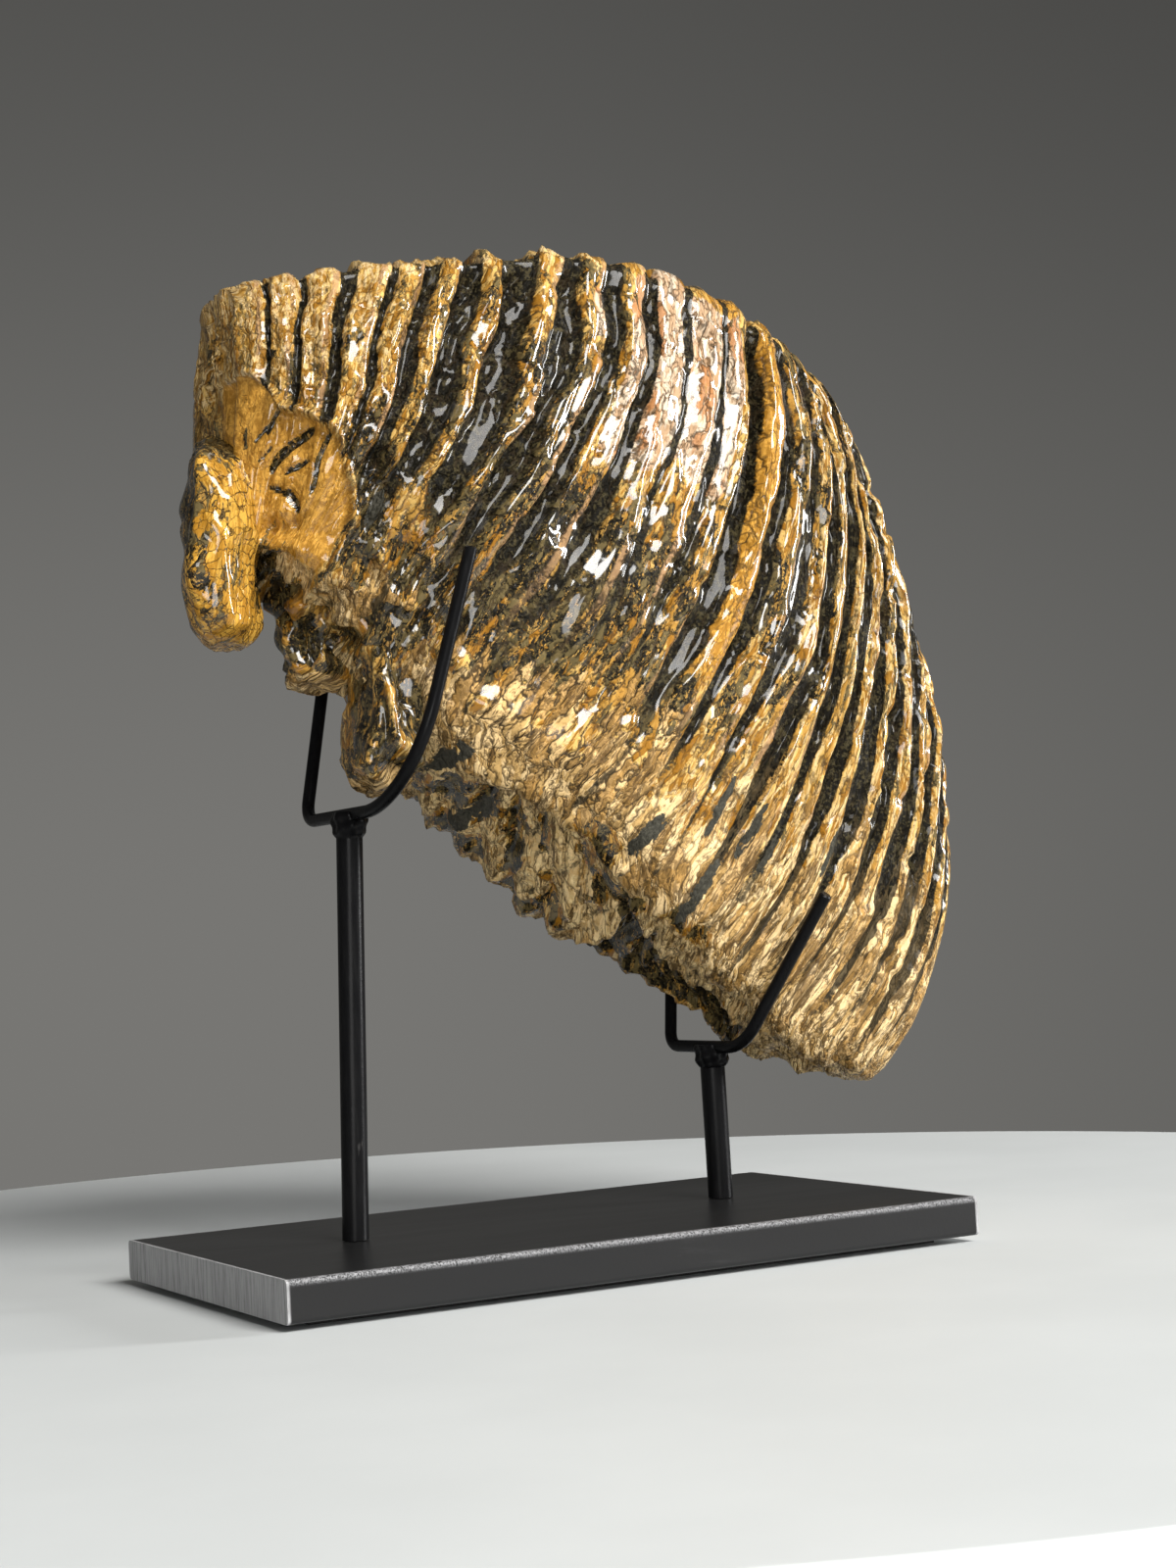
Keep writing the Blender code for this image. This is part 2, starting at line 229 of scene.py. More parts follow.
def table_top(rings=40, sides=360, rounding=0.0025, thickness=0.04):
    """A thick flat disc of rings, out to the rim, over a quarter-round edge, down a straight side
    and a little in below. A ring's points are its radius times the angle's cosine and sine."""
    bend = np.linspace(0, math.pi / 2, 9)
    inner = TABLE_RADIUS - rounding
    r = np.concatenate([np.linspace(0.02, inner, rings), inner + rounding * np.sin(bend),
                        [TABLE_RADIUS, TABLE_RADIUS - 0.05]])
    z = np.concatenate([np.zeros(rings), rounding * (np.cos(bend) - 1), [-thickness, -thickness - 0.001]])
    angle = np.linspace(0, 2 * math.pi, sides, endpoint=False)
    x = TABLE_CENTRE[0] + np.outer(r, np.cos(angle))
    y = TABLE_CENTRE[1] + np.outer(r, np.sin(angle))
    places = np.stack([x, y, np.repeat(z[:, None], sides, 1)], -1).reshape(-1, 3)
    outwards = ring_quads(len(r), sides)[:, [0, 3, 2, 1]]
    return places, [tuple(quad) for quad in outwards.tolist()] + [tuple(range(sides))]


board = Finish("white_table")
mottle = board.noise(board.place(), 9).between(0.3, 0.7)
board_finish = board.coat(Base_Color=board.mix(mottle, TABLE_PALE, TABLE_PALER), Roughness=0.55)
table = new_piece("table_top", *table_top(), board_finish, 40)


# ---- Felt pad ----
# A sheet of black felt, cut 10 mm short of the plate all round and glued under it.
FELT_DARK, FELT_LIGHT = (0.006, 0.006, 0.006), (0.022, 0.021, 0.021)

felt = Finish("black_felt")
fibre = felt.noise(felt.place(), 2600, 3)
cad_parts["base_pad"].data.materials.clear()
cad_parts["base_pad"].data.materials.append(felt.coat(
    Base_Color=felt.mix(fibre, FELT_DARK, FELT_LIGHT),
    Roughness=0.95,
    Normal=felt.bump(fibre, 0.6, 0.0004)))


# ---- Base plate ----
# Hot-rolled steel flat bar with rounded long edges, sawn to length and sprayed satin
# black. The saw's fine upright marks show through the paint on its ends. The ends are
# painted paler grey, partly bare sawn steel and partly painted sheen, and the top rim has
# rubbed paint with a painted highlight.
PLATE_PAINT, SCUFFED_PAINT = (0.0075, 0.0075, 0.0078), (0.16, 0.16, 0.16)
SAWN_STEEL_AND_SHEEN, RUBBED_EDGE_AND_HIGHLIGHT, DUST = (0.34, 0.34, 0.345), (0.3, 0.3, 0.31), (0.35, 0.34, 0.32)
_, plate_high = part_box("base_plate")
plate = Finish("satin_black_plate")
spot = plate.place()
x, y, z = plate.axes(spot)
end_face = x.maths("ABSOLUTE").between(plate_high[0] - 0.0012, plate_high[0] - 0.0004)
rim = (y.maths("ABSOLUTE").between(plate_high[1] - 0.003, plate_high[1] - 0.0008)
       * z.between(plate_high[2] - 0.0022, plate_high[2] - 0.0004)) * (1 - end_face)
peel = plate.noise(spot, 900, 3)
saw_marks = plate.noise(plate.stretched(spot, (300, 1500, 60)), 1, 5, 0.7)
scuffs = plate.noise(plate.stretched(spot, (14, 60, 90)), 1, 6, 0.7, 0.8)
specks = plate.cells(spot, 420).between(0.1, 0.02) * plate.noise(spot, 60).between(0.62, 0.7)
sparkle = plate.noise(plate.stretched(spot, (2200, 1400, 1400)), 1, 2, 0.8)
# The ends are paler grey: bare sawn steel, lightened further as painted sheen.
paint = plate.mix(end_face * saw_marks.between(0.15, 0.6), PLATE_PAINT, SAWN_STEEL_AND_SHEEN)
# Along the top rim, rubbed paint and a painted highlight in sparkly flecks.
paint = plate.mix(rim * sparkle.between(0.35, 0.62) * 0.8, paint, RUBBED_EDGE_AND_HIGHLIGHT)
paint = plate.mix(scuffs.between(0.6, 0.85) * 0.1, paint, SCUFFED_PAINT)
paint = plate.mix(specks * 0.5, paint, DUST)
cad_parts["base_plate"].data.materials.clear()
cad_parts["base_plate"].data.materials.append(plate.coat(
    Base_Color=paint,
    Roughness=0.3 + 0.22 * end_face + 0.1 * scuffs,
    Specular_IOR_Level=0.32,
    Normal=plate.bump(peel * 0.25 + saw_marks * end_face + sparkle * rim * 0.8, 0.5, 0.00025)))


# ---- Posts ----
# Round mild-steel bar, MIG-welded to the plate from below and to its cradle wire with
# one small bead, then sprayed with the plate.
POST_RADIUS = 0.004
BEAD_DROP, BEAD_REACH, BEAD_SWELL, BEAD_LUMPS = 0.0032, 0.0044, 0.0011, 0.0006
TALL_FOOT, TALL_SADDLE = (-0.0664, 0.0002), (-0.0624, 0.0000, 0.142)
SHORT_FOOT, SHORT_SADDLE = (0.063, 0.0017), (0.0617, 0.0005, 0.064)
PAINT, THIN_PAINT, RUBBED_PAINT = (0.0042, 0.0042, 0.0046), (0.013, 0.013, 0.013), (0.12, 0.115, 0.11)

stand = Finish("satin_black_bar")
spot = stand.place()
grit = stand.noise(spot, 1500, 3)
drag = stand.noise(stand.stretched(spot, (700, 700, 90)), 1, 4)
rub = stand.noise(stand.stretched(spot, (160, 160, 50)), 1, 5, 0.65)
bar_paint = stand.mix(drag.between(0.45, 0.8) * 0.35, PAINT, THIN_PAINT)
bar_paint = stand.mix(rub.between(0.66, 0.74) * 0.25, bar_paint, RUBBED_PAINT)
bar_finish = stand.coat(
    Base_Color=bar_paint,
    Roughness=0.22 + 0.14 * drag,
    Specular_IOR_Level=0.07,
    Normal=stand.bump(grit * 0.6 + drag * 0.4, 0.35, 0.00015))


def tube_faces(rings, sides):
    """Quads between neighbouring rings, and one flat face on each end."""
    ends = [tuple(range(sides))[::-1], tuple(range((rings - 1) * sides, rings * sides))]
    return [tuple(quad) for quad in ring_quads(rings, sides).tolist()] + ends


def post_surface(foot, saddle, rings=150, sides=56):
    """A leaning bar: its ring radius is the bar's, plus a lumpy weld bead at the top, where the ring
    is also drawn out along the wire."""
    bottom = plate_high[2] + 0.0003
    top = saddle[2] - 0.0002
    z = bottom + (top - bottom) * np.linspace(0, 1, rings)[:, None] ** 0.75
    share = (z - bottom) / (top - bottom)
    angle = np.linspace(0, 2 * math.pi, sides, endpoint=False)
    bead = np.clip(1 - ((z - (saddle[2] - BEAD_DROP)) / BEAD_REACH) ** 2, 0, 1) ** 0.5
    lumps = BEAD_LUMPS * np.sin(3 * angle + 900 * z) * np.sin(5 * angle - 500 * z + 1)
    swell = POST_RADIUS + bead * (BEAD_SWELL + lumps)
    x = foot[0] + (saddle[0] - foot[0]) * share + swell * np.cos(angle)
    y = foot[1] + (saddle[1] - foot[1]) * share + swell * np.sin(angle) * (1 + 0.22 * bead)
    z = np.repeat(z, sides, 1)
    near = np.hypot(x - saddle[0], z - saddle[2])
    dip = np.clip(0.0023 - near, 0, None)
    z = z - dip * (np.abs(y - saddle[1]) < 0.006)
    return np.stack([x, y, z], -1).reshape(-1, 3), tube_faces(rings, sides)


for side, foot, saddle in (("tall", TALL_FOOT, TALL_SADDLE), ("short", SHORT_FOOT, SHORT_SADDLE)):
    bar = new_piece("post_bar_" + side, *post_surface(foot, saddle), bar_finish, 50)
    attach(bar, "root")
    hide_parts("post_" + side)


# ---- Cradles ----
# Two lengths of round wire, each bent into an open hook that follows the tooth: a sharp
# bend behind it, a wide one in front, and cut ends with the burr filed off. A bend is its
# distance behind the saddle, its rise over it and its inner radius.
WIRE_RADIUS = 0.002
WIRE_FILED = 0.00045
CRADLE_LEAN = 0.28
TALL_BENDS = ((0.047, 0.056, 0.0), (0.033, -0.001, 0.009), (-0.044, -0.001, 0.034), (-0.0497, 0.073, 0.0))
SHORT_BENDS = ((0.0395, 0.04, 0.0), (0.025, -0.001, 0.007),
               (-0.0195, -0.001, 0.016), (-0.0515, 0.046, 0.0))


def unit(way):
    """A direction at length 1."""
    return way / np.linalg.norm(way)


def wire_route(saddle, bends, step=0.0009):
    """Straight runs joined by arcs in a plane that leans towards +X, then spaced evenly."""
    corner = np.array([(saddle[0] + CRADLE_LEAN * rise, saddle[1] + y, saddle[2] + rise)
                       for y, rise, _ in bends])
    parts = [corner[:1]]
    for i in (1, 2):
        before = unit(corner[i - 1] - corner[i])
        after = unit(corner[i + 1] - corner[i])
        half = math.acos(np.dot(before, after)) / 2
        radius = bends[i][2]
        centre = corner[i] + unit(before + after) * radius / math.sin(half)
        start = corner[i] + before * radius / math.tan(half) - centre
        end = corner[i] + after * radius / math.tan(half) - centre
        sweep = math.pi - 2 * half
        share = np.linspace(0, 1, 40)[:, None]
        arc = start * np.sin((1 - share) * sweep) + end * np.sin(share * sweep)
        parts.append(centre + arc / math.sin(sweep))
    parts.append(corner[3:])
    line = np.concatenate(parts)
    run = np.concatenate([[0], np.cumsum(np.linalg.norm(np.diff(line, axis=0), axis=1))])
    even = np.linspace(0, run[-1], int(run[-1] / step))
    return np.stack([np.interp(even, run, line[:, k]) for k in range(3)], -1)


def wire_surface(route, sides=32):
    """A circle carried along the route, square to it, drawn in over the last half millimetre."""
    flat = np.array([1, 0, -CRADLE_LEAN]) / math.hypot(1, CRADLE_LEAN)
    ahead = np.gradient(route, axis=0)
    ahead /= np.linalg.norm(ahead, axis=1)[:, None]
    across = np.cross(ahead, flat)
    route = np.concatenate([route[:1], route[:1] + ahead[:1] * WIRE_FILED, route[1:-1],
                            route[-1:] - ahead[-1:] * WIRE_FILED, route[-1:]])
    across = np.concatenate([across[:1], across, across[-1:]])
    radius = np.full(len(route), WIRE_RADIUS)
    radius[[0, -1]] -= WIRE_FILED
    angle = np.linspace(0, 2 * math.pi, sides, endpoint=False)
    ring = np.cos(angle)[None, :, None] * across[:, None] + np.sin(angle)[None, :, None] * flat
    return (route[:, None] + radius[:, None, None] * ring).reshape(-1, 3), tube_faces(len(route), sides)


for side, saddle, bends in (("tall", TALL_SADDLE, TALL_BENDS), ("short", SHORT_SADDLE, SHORT_BENDS)):
    hook = new_piece("wire_hook_" + side, *wire_surface(wire_route(saddle, bends)), bar_finish, 40)
    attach(hook, "root")
    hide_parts("cradle_" + side)


# ---- Tooth ----
# One mineralised molar: upright enamel plates, glued side by side by cement while it grew,
# over a row of roots. Iron and manganese have stained it ochre, brown and black, and it
# is varnished. Its colours also carry painted shade in hollows, pits, low places and down
# the front root's left side, and painted highlights on the underside crest, the facet's rim
# and the knob tops. In the lists, u counts the plates from the front root, t runs from 0 at
# the biting edge to 1 at the roots, and c from -1 on the shown side to 1 on the back.
LAMELLAE = 25
WANDER = 0.25
ROOT_TURN = 0.3
KEY_PLATES = (0, 2, 4, 6, 8, 10, 13, 16, 19, 22, 25)
BITE_X = (-0.099, -0.081, -0.053, -0.028, 0.006, 0.034, 0.07, 0.089, 0.103, 0.128, 0.144)
BITE_Z = (0.297, 0.301, 0.306, 0.31, 0.315, 0.312, 0.301, 0.286, 0.269, 0.206, 0.14)
ROOT_X = (-0.101, -0.095, -0.087, -0.076, -0.063, -0.046, -0.004, 0.031, 0.058, 0.086, 0.116)
ROOT_Z = (0.218, 0.214, 0.21, 0.202, 0.184, 0.16, 0.136, 0.103, 0.074, 0.058, 0.048)
PLATE_LEAN = (-5, -15, -25, -20, -14, -12, -4, 12, 17, 15, 11)
BITE_HALF_WIDTH = (0.026, 0.034, 0.04, 0.042, 0.043, 0.043, 0.042, 0.041, 0.04, 0.036, 0.028)
ROOT_FRONT = (0.026, 0.026, 0.027, 0.028, 0.03, 0.032, 0.039, 0.034, 0.027, 0.024, 0.02)
ROOT_BACK = (0.02, 0.021, 0.022, 0.024, 0.026, 0.028, 0.034, 0.032, 0.023, 0.022, 0.018)
WAIST = 0.47
COLUMNS_PER_PLATE = 12
ROWS = 104
LAYERS = 24
# In plates.
GROOVE_WIDTH = (0.1, 0.1, 0.1, 0.16, 0.1, 0.2, 0.27, 0.33, 0.3, 0.19, 0.17, 0.09, 0.09,
                0.25, 0.19, 0.2, 0.24, 0.27, 0.3, 0.3, 0.3, 0.3, 0.3, 0.28, 0.25, 0.2)
# In millimetres.
GROOVE_DEPTH = (2.0, 3.0, 3.0, 3.4, 3.2, 4.2, 4.8, 5.2, 4.8, 3.4, 3.0, 1.2, 1.0,
                4.4, 3.2, 2.6, 2.2, 2.0, 2.0, 2.0, 2.0, 2.0, 2.0, 1.8, 1.6, 1.2)
# u, then the t at which the facet starts.
FACET_EDGE = ((0, 0.3, 1.2, 1.7, 2.1, 3.0, 3.6, 4.0, 4.9, 5.3),
              (0.37, 0.38, 0.47, 0.53, 0.54, 0.59, 0.64, 0.7, 0.79, 0.87))
# Three places (u, t) along each slot, and its width.
FACET_SLOTS = (((1.59, 0.72), (2.02, 0.655), (2.5, 0.605), 1.3),
               ((2.1, 0.73), (2.32, 0.718), (2.58, 0.7), 0.8),
               ((3.2, 0.79), (2.98, 0.71), (3.14, 0.625), 1.0),
               ((1.22, 0.6), (1.36, 0.57), (1.52, 0.53), 0.8),
               ((0.77, 0.63), (0.95, 0.605), (1.15, 0.585), 0.6),
               ((1.02, 0.69), (1.2, 0.68), (1.45, 0.655), 0.5),
               ((1.73, 0.777), (2.26, 0.795), (2.75, 0.845), 0.9),
               ((0.3, 0.58), (0.34, 0.61), (0.38, 0.65), 0.5))
# u, then the t below which the bare tan band starts.
TAN_EDGE = ((0, 5, 8.4, 9.7, 10.8, 12.2, 15, 18, 20, 22, 26),
            (1.05, 0.98, 0.92, 0.86, 0.83, 0.84, 0.81, 0.76, 0.71, 0.65, 0.54))
# u, t, width and how much darker than its surroundings.
DARK_SPOTS = ((5.4, 0.335, 0.5, -0.3), (6.35, 0.64, 0.3, -0.4), (6.68, 0.75, 0.5, -0.35),
              (8.41, 0.35, 0.45, 0.25), (9.09, 0.6, 0.8, 0.18), (10.5, 0.6, 0.8, 0.15),
              (11.5, 0.63, 0.7, 0.15), (7.1, 0.1, 0.28, 0.5), (8.17, 0.07, 0.3, 0.5),
              (9.13, 0.045, 0.25, 0.4), (14.5, 0.08, 0.4, 0.3), (4.4, 0.6, 0.5, 0.35),
              (3.3, 0.33, 0.25, 0.35), (9.3, 0.77, 1.1, 0.24), (7.6, 0.72, 0.7, 0.16),
              (10.9, 0.73, 0.9, 0.2), (13.3, 0.76, 0.9, 0.2), (15.6, 0.74, 0.8, 0.14),
              (1.2, 0.33, 0.2, 0.4))
# u, t, c and width.
SLATE_SPOTS = ((5.72, 0.79, -1, 0.42), (14.4, 0.95, -0.9, 0.36), (16.05, 0.945, -0.9, 0.3),
               (18.75, 0.775, -1, 0.24), (16.3, 0.83, -1, 0.24), (17.02, 0.84, -1, 0.24),
               (15.4, 0.84, -1, 0.24), (11.9, 0.99, 0.05, 0.5), (10.4, 0.99, -0.6, 0.4))
# The noises that run on from the crown to the roots.
FOLD_SEED, KNOB_SEED, SMALL_KNOB_SEED = 71, 81, 82


def through(keys, values, at):
    """Smooth curve through keyed values: cubic pieces with the mean slope of their neighbours."""
    k, v = np.asarray(keys, float), np.asarray(values, float)
    slope = np.gradient(v, k)
    i = np.clip(np.searchsorted(k, at, side="right") - 1, 0, len(k) - 2)
    span = k[i + 1] - k[i]
    f = (at - k[i]) / span
    start = (1 + 2 * f) * (1 - f) ** 2 * v[i] + f * (1 - f) ** 2 * span * slope[i]
    end = f * f * (3 - 2 * f) * v[i + 1] + f * f * (f - 1) * span * slope[i + 1]
    return start + end


def ease(x, low, high):
    """From 0 at low to 1 at high by an S curve, and level outside them. With low above high it falls."""
    f = np.clip((x - low) / (high - low), 0, 1)
    return f * f * (3 - 2 * f)


def hill(x, centre, width):
    """A round hill of height 1 that falls to a third at its width."""
    return np.exp(-((x - centre) / width) ** 2)


def span(x, start, end, soft):
    """1 between start and end, easing to 0 over soft outside them."""
    return ease(x, start - soft, start) * ease(x, end + soft, end)


def grain(x, y, z, seed):
    """Smooth noise from -1 to 1: every whole-number corner has a value from its own sine."""
    spot = np.stack(np.broadcast_arrays(x, y, z), -1)
    cell = np.floor(spot)
    part = spot - cell
    part = part * part * (3 - 2 * part)
    total = 0.0
    for corner in range(8):
        step = np.array([corner & 1, corner >> 1 & 1, corner >> 2 & 1])
        mark = np.sin((cell + step) @ np.array([12.9898, 78.233, 37.719]) + seed * 4.7) * 43758.5453
        weight = np.prod(np.where(step == 1, part, 1 - part), -1)
        total = total + weight * (mark - np.floor(mark))
    return 2 * total - 1


def rough_grain(x, y, z, seed, octaves=3):
    """Smooth noise with finer, weaker noise on top: each octave twice as fine and half as high."""
    total = 0.0
    for octave in range(octaves):
        fine = 2.03 ** octave
        total = total + 0.55 ** octave * grain(x * fine, y * fine, z * fine, seed + octave)
    return total


def hanging(place):
    """Noise drawn out downwards, the same on every piece it crosses, so that their folds run on."""
    wide = grain(*(place * (105, 85, 24)).T, FOLD_SEED)
    return 0.7 * wide + 0.3 * grain(*(place * (240, 200, 60)).T, FOLD_SEED + 1)


def knobs(place):
    """Rounded lumps with sharp valleys between them, the same on every piece: 1 less the size of a
    wide noise and a fine one."""
    wide = np.abs(grain(*(place * (88, 88, 52)).T, KNOB_SEED))
    return 1 - 3.2 * wide - 1.0 * np.abs(grain(*(place * (190, 190, 120)).T, SMALL_KNOB_SEED))


def box_skin(n, m, k):
    """Whole-number points on the skin of an n x m x k block, and its quads, turned outwards."""
    size = (n, m, k)
    corners = []
    for axis in range(3):
        second, third = (axis + 1) % 3, (axis + 2) % 3
        i, j = np.meshgrid(np.arange(size[second]), np.arange(size[third]), indexing="ij")
        for side in (0, size[axis]):
            quad = np.zeros(i.shape + (4, 3), int)
            ring = ((0, 0), (1, 0), (1, 1), (0, 1))
            for c, (di, dj) in enumerate(ring if side else ring[::-1]):
                quad[..., c, axis], quad[..., c, second], quad[..., c, third] = side, i + di, j + dj
            corners.append(quad.reshape(-1, 4, 3))
    corners = np.concatenate(corners)
    key = (corners[..., 0] * (m + 1) + corners[..., 1]) * (k + 1) + corners[..., 2]
    unique, index = np.unique(key, return_inverse=True)
    points = np.stack([unique // ((m + 1) * (k + 1)), unique // (k + 1) % (m + 1), unique % (k + 1)], -1)
    return points, index.reshape(-1, 4)


def plate_point(u, t):
    """Middle of plate u at share t down it: a quadratic curve that sets off from the biting edge
    at the plate's lean and ends at its root."""
    bite_x, bite_z = through(KEY_PLATES, BITE_X, u), through(KEY_PLATES, BITE_Z, u)
    root_x, root_z = through(KEY_PLATES, ROOT_X, u), through(KEY_PLATES, ROOT_Z, u)
    lean = np.radians(through(KEY_PLATES, PLATE_LEAN, u))
    reach = WAIST * np.hypot(bite_x - root_x, bite_z - root_z)
    x = (1 - t) ** 2 * bite_x + 2 * t * (1 - t) * (bite_x + reach * np.sin(lean)) + t * t * root_x
    z = (1 - t) ** 2 * bite_z + 2 * t * (1 - t) * (bite_z - reach * np.cos(lean)) + t * t * root_z
    return x, z


def squared_round(b, c, power):
    """Move a point of the square -1..1 into a rounded square whose corners have the given power."""
    r = np.maximum(np.maximum(np.abs(b), np.abs(c)), 1e-9)
    n = np.maximum((np.abs(b) / r) ** power + (np.abs(c) / r) ** power, 1) ** (1 / power)
    return b / n, c / n


def crown_surface(points, n, m, k):
    """Plate number u, share t down the plate, share c across it, and place: the plate's middle line
    moved out to a half width that rounds off at both ends and tapers towards the roots."""
    u = LAMELLAE * points[:, 0] / n
    b, c = squared_round(2 * points[:, 1] / m - 1, 2 * points[:, 2] / k - 1, 7)
    t = (1 + b) / 2
    end = 1 - np.abs(0.985 * (2 * u / LAMELLAE - 1)) ** 5
    root = np.where(c < 0, through(KEY_PLATES, ROOT_FRONT, u), through(KEY_PLATES, ROOT_BACK, u))
    taper = ease(t, 0.62 + 0.14 * ease(u, 13.7, 19), 1.06)
    half = through(KEY_PLATES, BITE_HALF_WIDTH, u) + 0.003 * np.sin(math.pi * np.clip(t, 0, 1))
    half = half * (1 - taper) + root * taper - 0.0045 * ease(t, 0.3, -0.05)
    facet = ease(u, 3.4, 1.6) * ease(t, 0.4, 0.75) * ease(-c, 0.2, 0.8)
    y = half * end ** 0.2 * c * (1 - 0.2 * facet) - 0.002
    belly = 0.06 * hill(u, 13.7, 3.2) * ease(c, -0.7, 0.5)
    hollow = 0.03 * hill(u, 19.1, 1.6) * hill(c, -0.1, 0.6)
    reach = t * (1 + (belly - hollow) * ease(t, 0.7, 1.0))
    wander = WANDER * grain(u * 0.45, t * 4, c * 1.5, 1) * ease(t, 0.0, 0.2)
    wander = wander * ease(u, 0, 2) * ease(LAMELLAE - u, 0, 2)
    x, z = plate_point(u + wander, reach)
    return u, t, c, np.stack([x, y, z], -1)


def slot_depth(u, t, bend, width):
    """1 on the bent line through three places in (u, t x 12), falling to 0 at its width."""
    share = np.zeros_like(u)
    for start, end in (bend[0:2], bend[1:3]):
        ax, ay, bx, by = start[0], start[1] * 12, end[0], end[1] * 12
        length = (bx - ax) ** 2 + (by - ay) ** 2
        f = np.clip(((u - ax) * (bx - ax) + (t * 12 - ay) * (by - ay)) / length, 0, 1)
        away = np.hypot(u - ax - f * (bx - ax), t * 12 - ay - f * (by - ay))
        share = np.maximum(share, 1 - ease(away, width * 0.3, width))
    return share


def crown_shares(u, t, c, place):
    """What each point of the crown belongs to, from 0 to 1: the gap between two plates, the fading of
    the plates near the roots, the worn facet with its rim and slots, the root end's cap, the pits."""
    px, py, pz = place.T
    front = ease(-c, 0.0, 0.5)
    moved = u + 0.09 * grain(u * 0.9, t * 9, c * 5, 41) + 0.035 * grain(u * 2.3, t * 40, c * 11, 40)
    line = np.clip(np.round(moved), 0, LAMELLAE).astype(int)
    number = np.floor(moved)
    away = np.abs(moved - line)
    width = np.array(GROOVE_WIDTH)[line] * (1 + 0.45 * grain(line * 3.7, t * 7, c * 2, 45))
    width = width * (1 - 0.55 * ease(t, 0.66, 0.84))
    gap = ease(away, width * 1.05 + 0.05, width * 0.75) * (line > 0) * (line < LAMELLAE)
    reach = 0.7 + 0.16 * ease(u, 12.0, 17.0) - 0.1 * ease(u, 6.0, 3.0)
    fade = ease(t + 0.08 * grain(u * 1.1, t * 2, c, 42), reach - 0.13, reach + 0.12)
    facet = through(*FACET_EDGE, u)
    worn = ease(t, facet, facet + 0.02) * ease(u, 5.5, 4.9) * front
    depth = np.array(GROOVE_DEPTH)[line] / 1000 * (1 + 0.3 * grain(line * 5.1, t * 5, c * 2, 2))
    depth = depth * (1 - 0.84 * fade) * (1 - 0.95 * worn) * (1 + 0.35 * ease(t, 0.06, 0.0))
    cap = ease(u, 0.45, 0.05) * ease(-c, -0.95, -0.6)
    rim = hill(t, facet - 0.006, 0.011) * ease(u, 5.2, 4.4) * front * (1 - cap)
    pits = ease(grain(px * 230, py * 230, pz * 150, 49), 0.42, 0.72) * (1 - worn)
    slots = np.zeros_like(u)
    for *bend, wide in FACET_SLOTS:
        slots = np.maximum(slots, slot_depth(u, t, bend, 0.15 * wide) * front * wide ** 0.5)
    lean = np.sin(2 * math.pi * (moved - number))
    return SimpleNamespace(front=front, number=number, away=away, gap=gap, depth=depth, fade=fade,
                           worn=worn, cap=cap, rim=rim, pits=pits, slots=slots, lean=lean)


def plate_relief(u, t, c, place, share):
    """Minus the depth in a gap, plus each plate's level, lumps, fibres, creases where it fades, and
    grit, minus chips and pits."""
    px, py, pz = place.T
    number, gap, fade, worn = share.number, share.gap, share.fade, share.worn
    loose = (1 - 0.7 * fade) * (1 - worn)
    chipped = ease(grain(number * 7.1, t * 16, c * 2, 3), 0.05, 0.22) * ease(t, 0.5, 0.0)
    fibres = 0.00045 + 0.00065 * ease(u, 9, 7) * ease(t, 0.56, 0.42)
    creases = np.abs(grain(u * 1.7 + 0.8 * grain(u * 2, t * 6, c * 4, 66), t * 5.2, c * 5, 65))
    height = -share.depth * gap - 0.0009 * ease(0.5 - share.away, 0.15, 0.5) * loose
    height += 0.001 * grain(number * 3.3, number * 1.7, 0, 6) * loose
    height -= 0.0013 * chipped * loose
    height -= 0.0016 * ease(grain(u * 2.1, t * 7, c * 3, 7), 0.25, 0.36) * loose * (1 - gap)
    height += 0.0009 * grain(px * 80, py * 80, pz * 50, 4) * (1 - 0.6 * worn)
    height += 0.0012 * grain(u * 3.4, t * 5, c * 3, 44) * (1 - worn) * (1 - gap) * (1 - 0.4 * fade)
    height += fibres * grain(u * 6.1, t * 17, c * 7, 48) * (1 - 0.5 * worn)
    height += 0.0014 * fade * (0.5 - 2.2 * creases) * (1 - gap)
    height += 0.00025 * rough_grain(px * 300, py * 300, pz * 260, 46, 2) * (1 - 0.7 * worn)
    height -= 0.0015 * share.pits * (1 - 0.6 * fade)
    height += 0.0018 * share.cap * grain(c * 7, t * 3.2, 0, 52)
    height += 0.0009 * share.cap * grain(c * 17, t * 6, 0, 53)
    return height


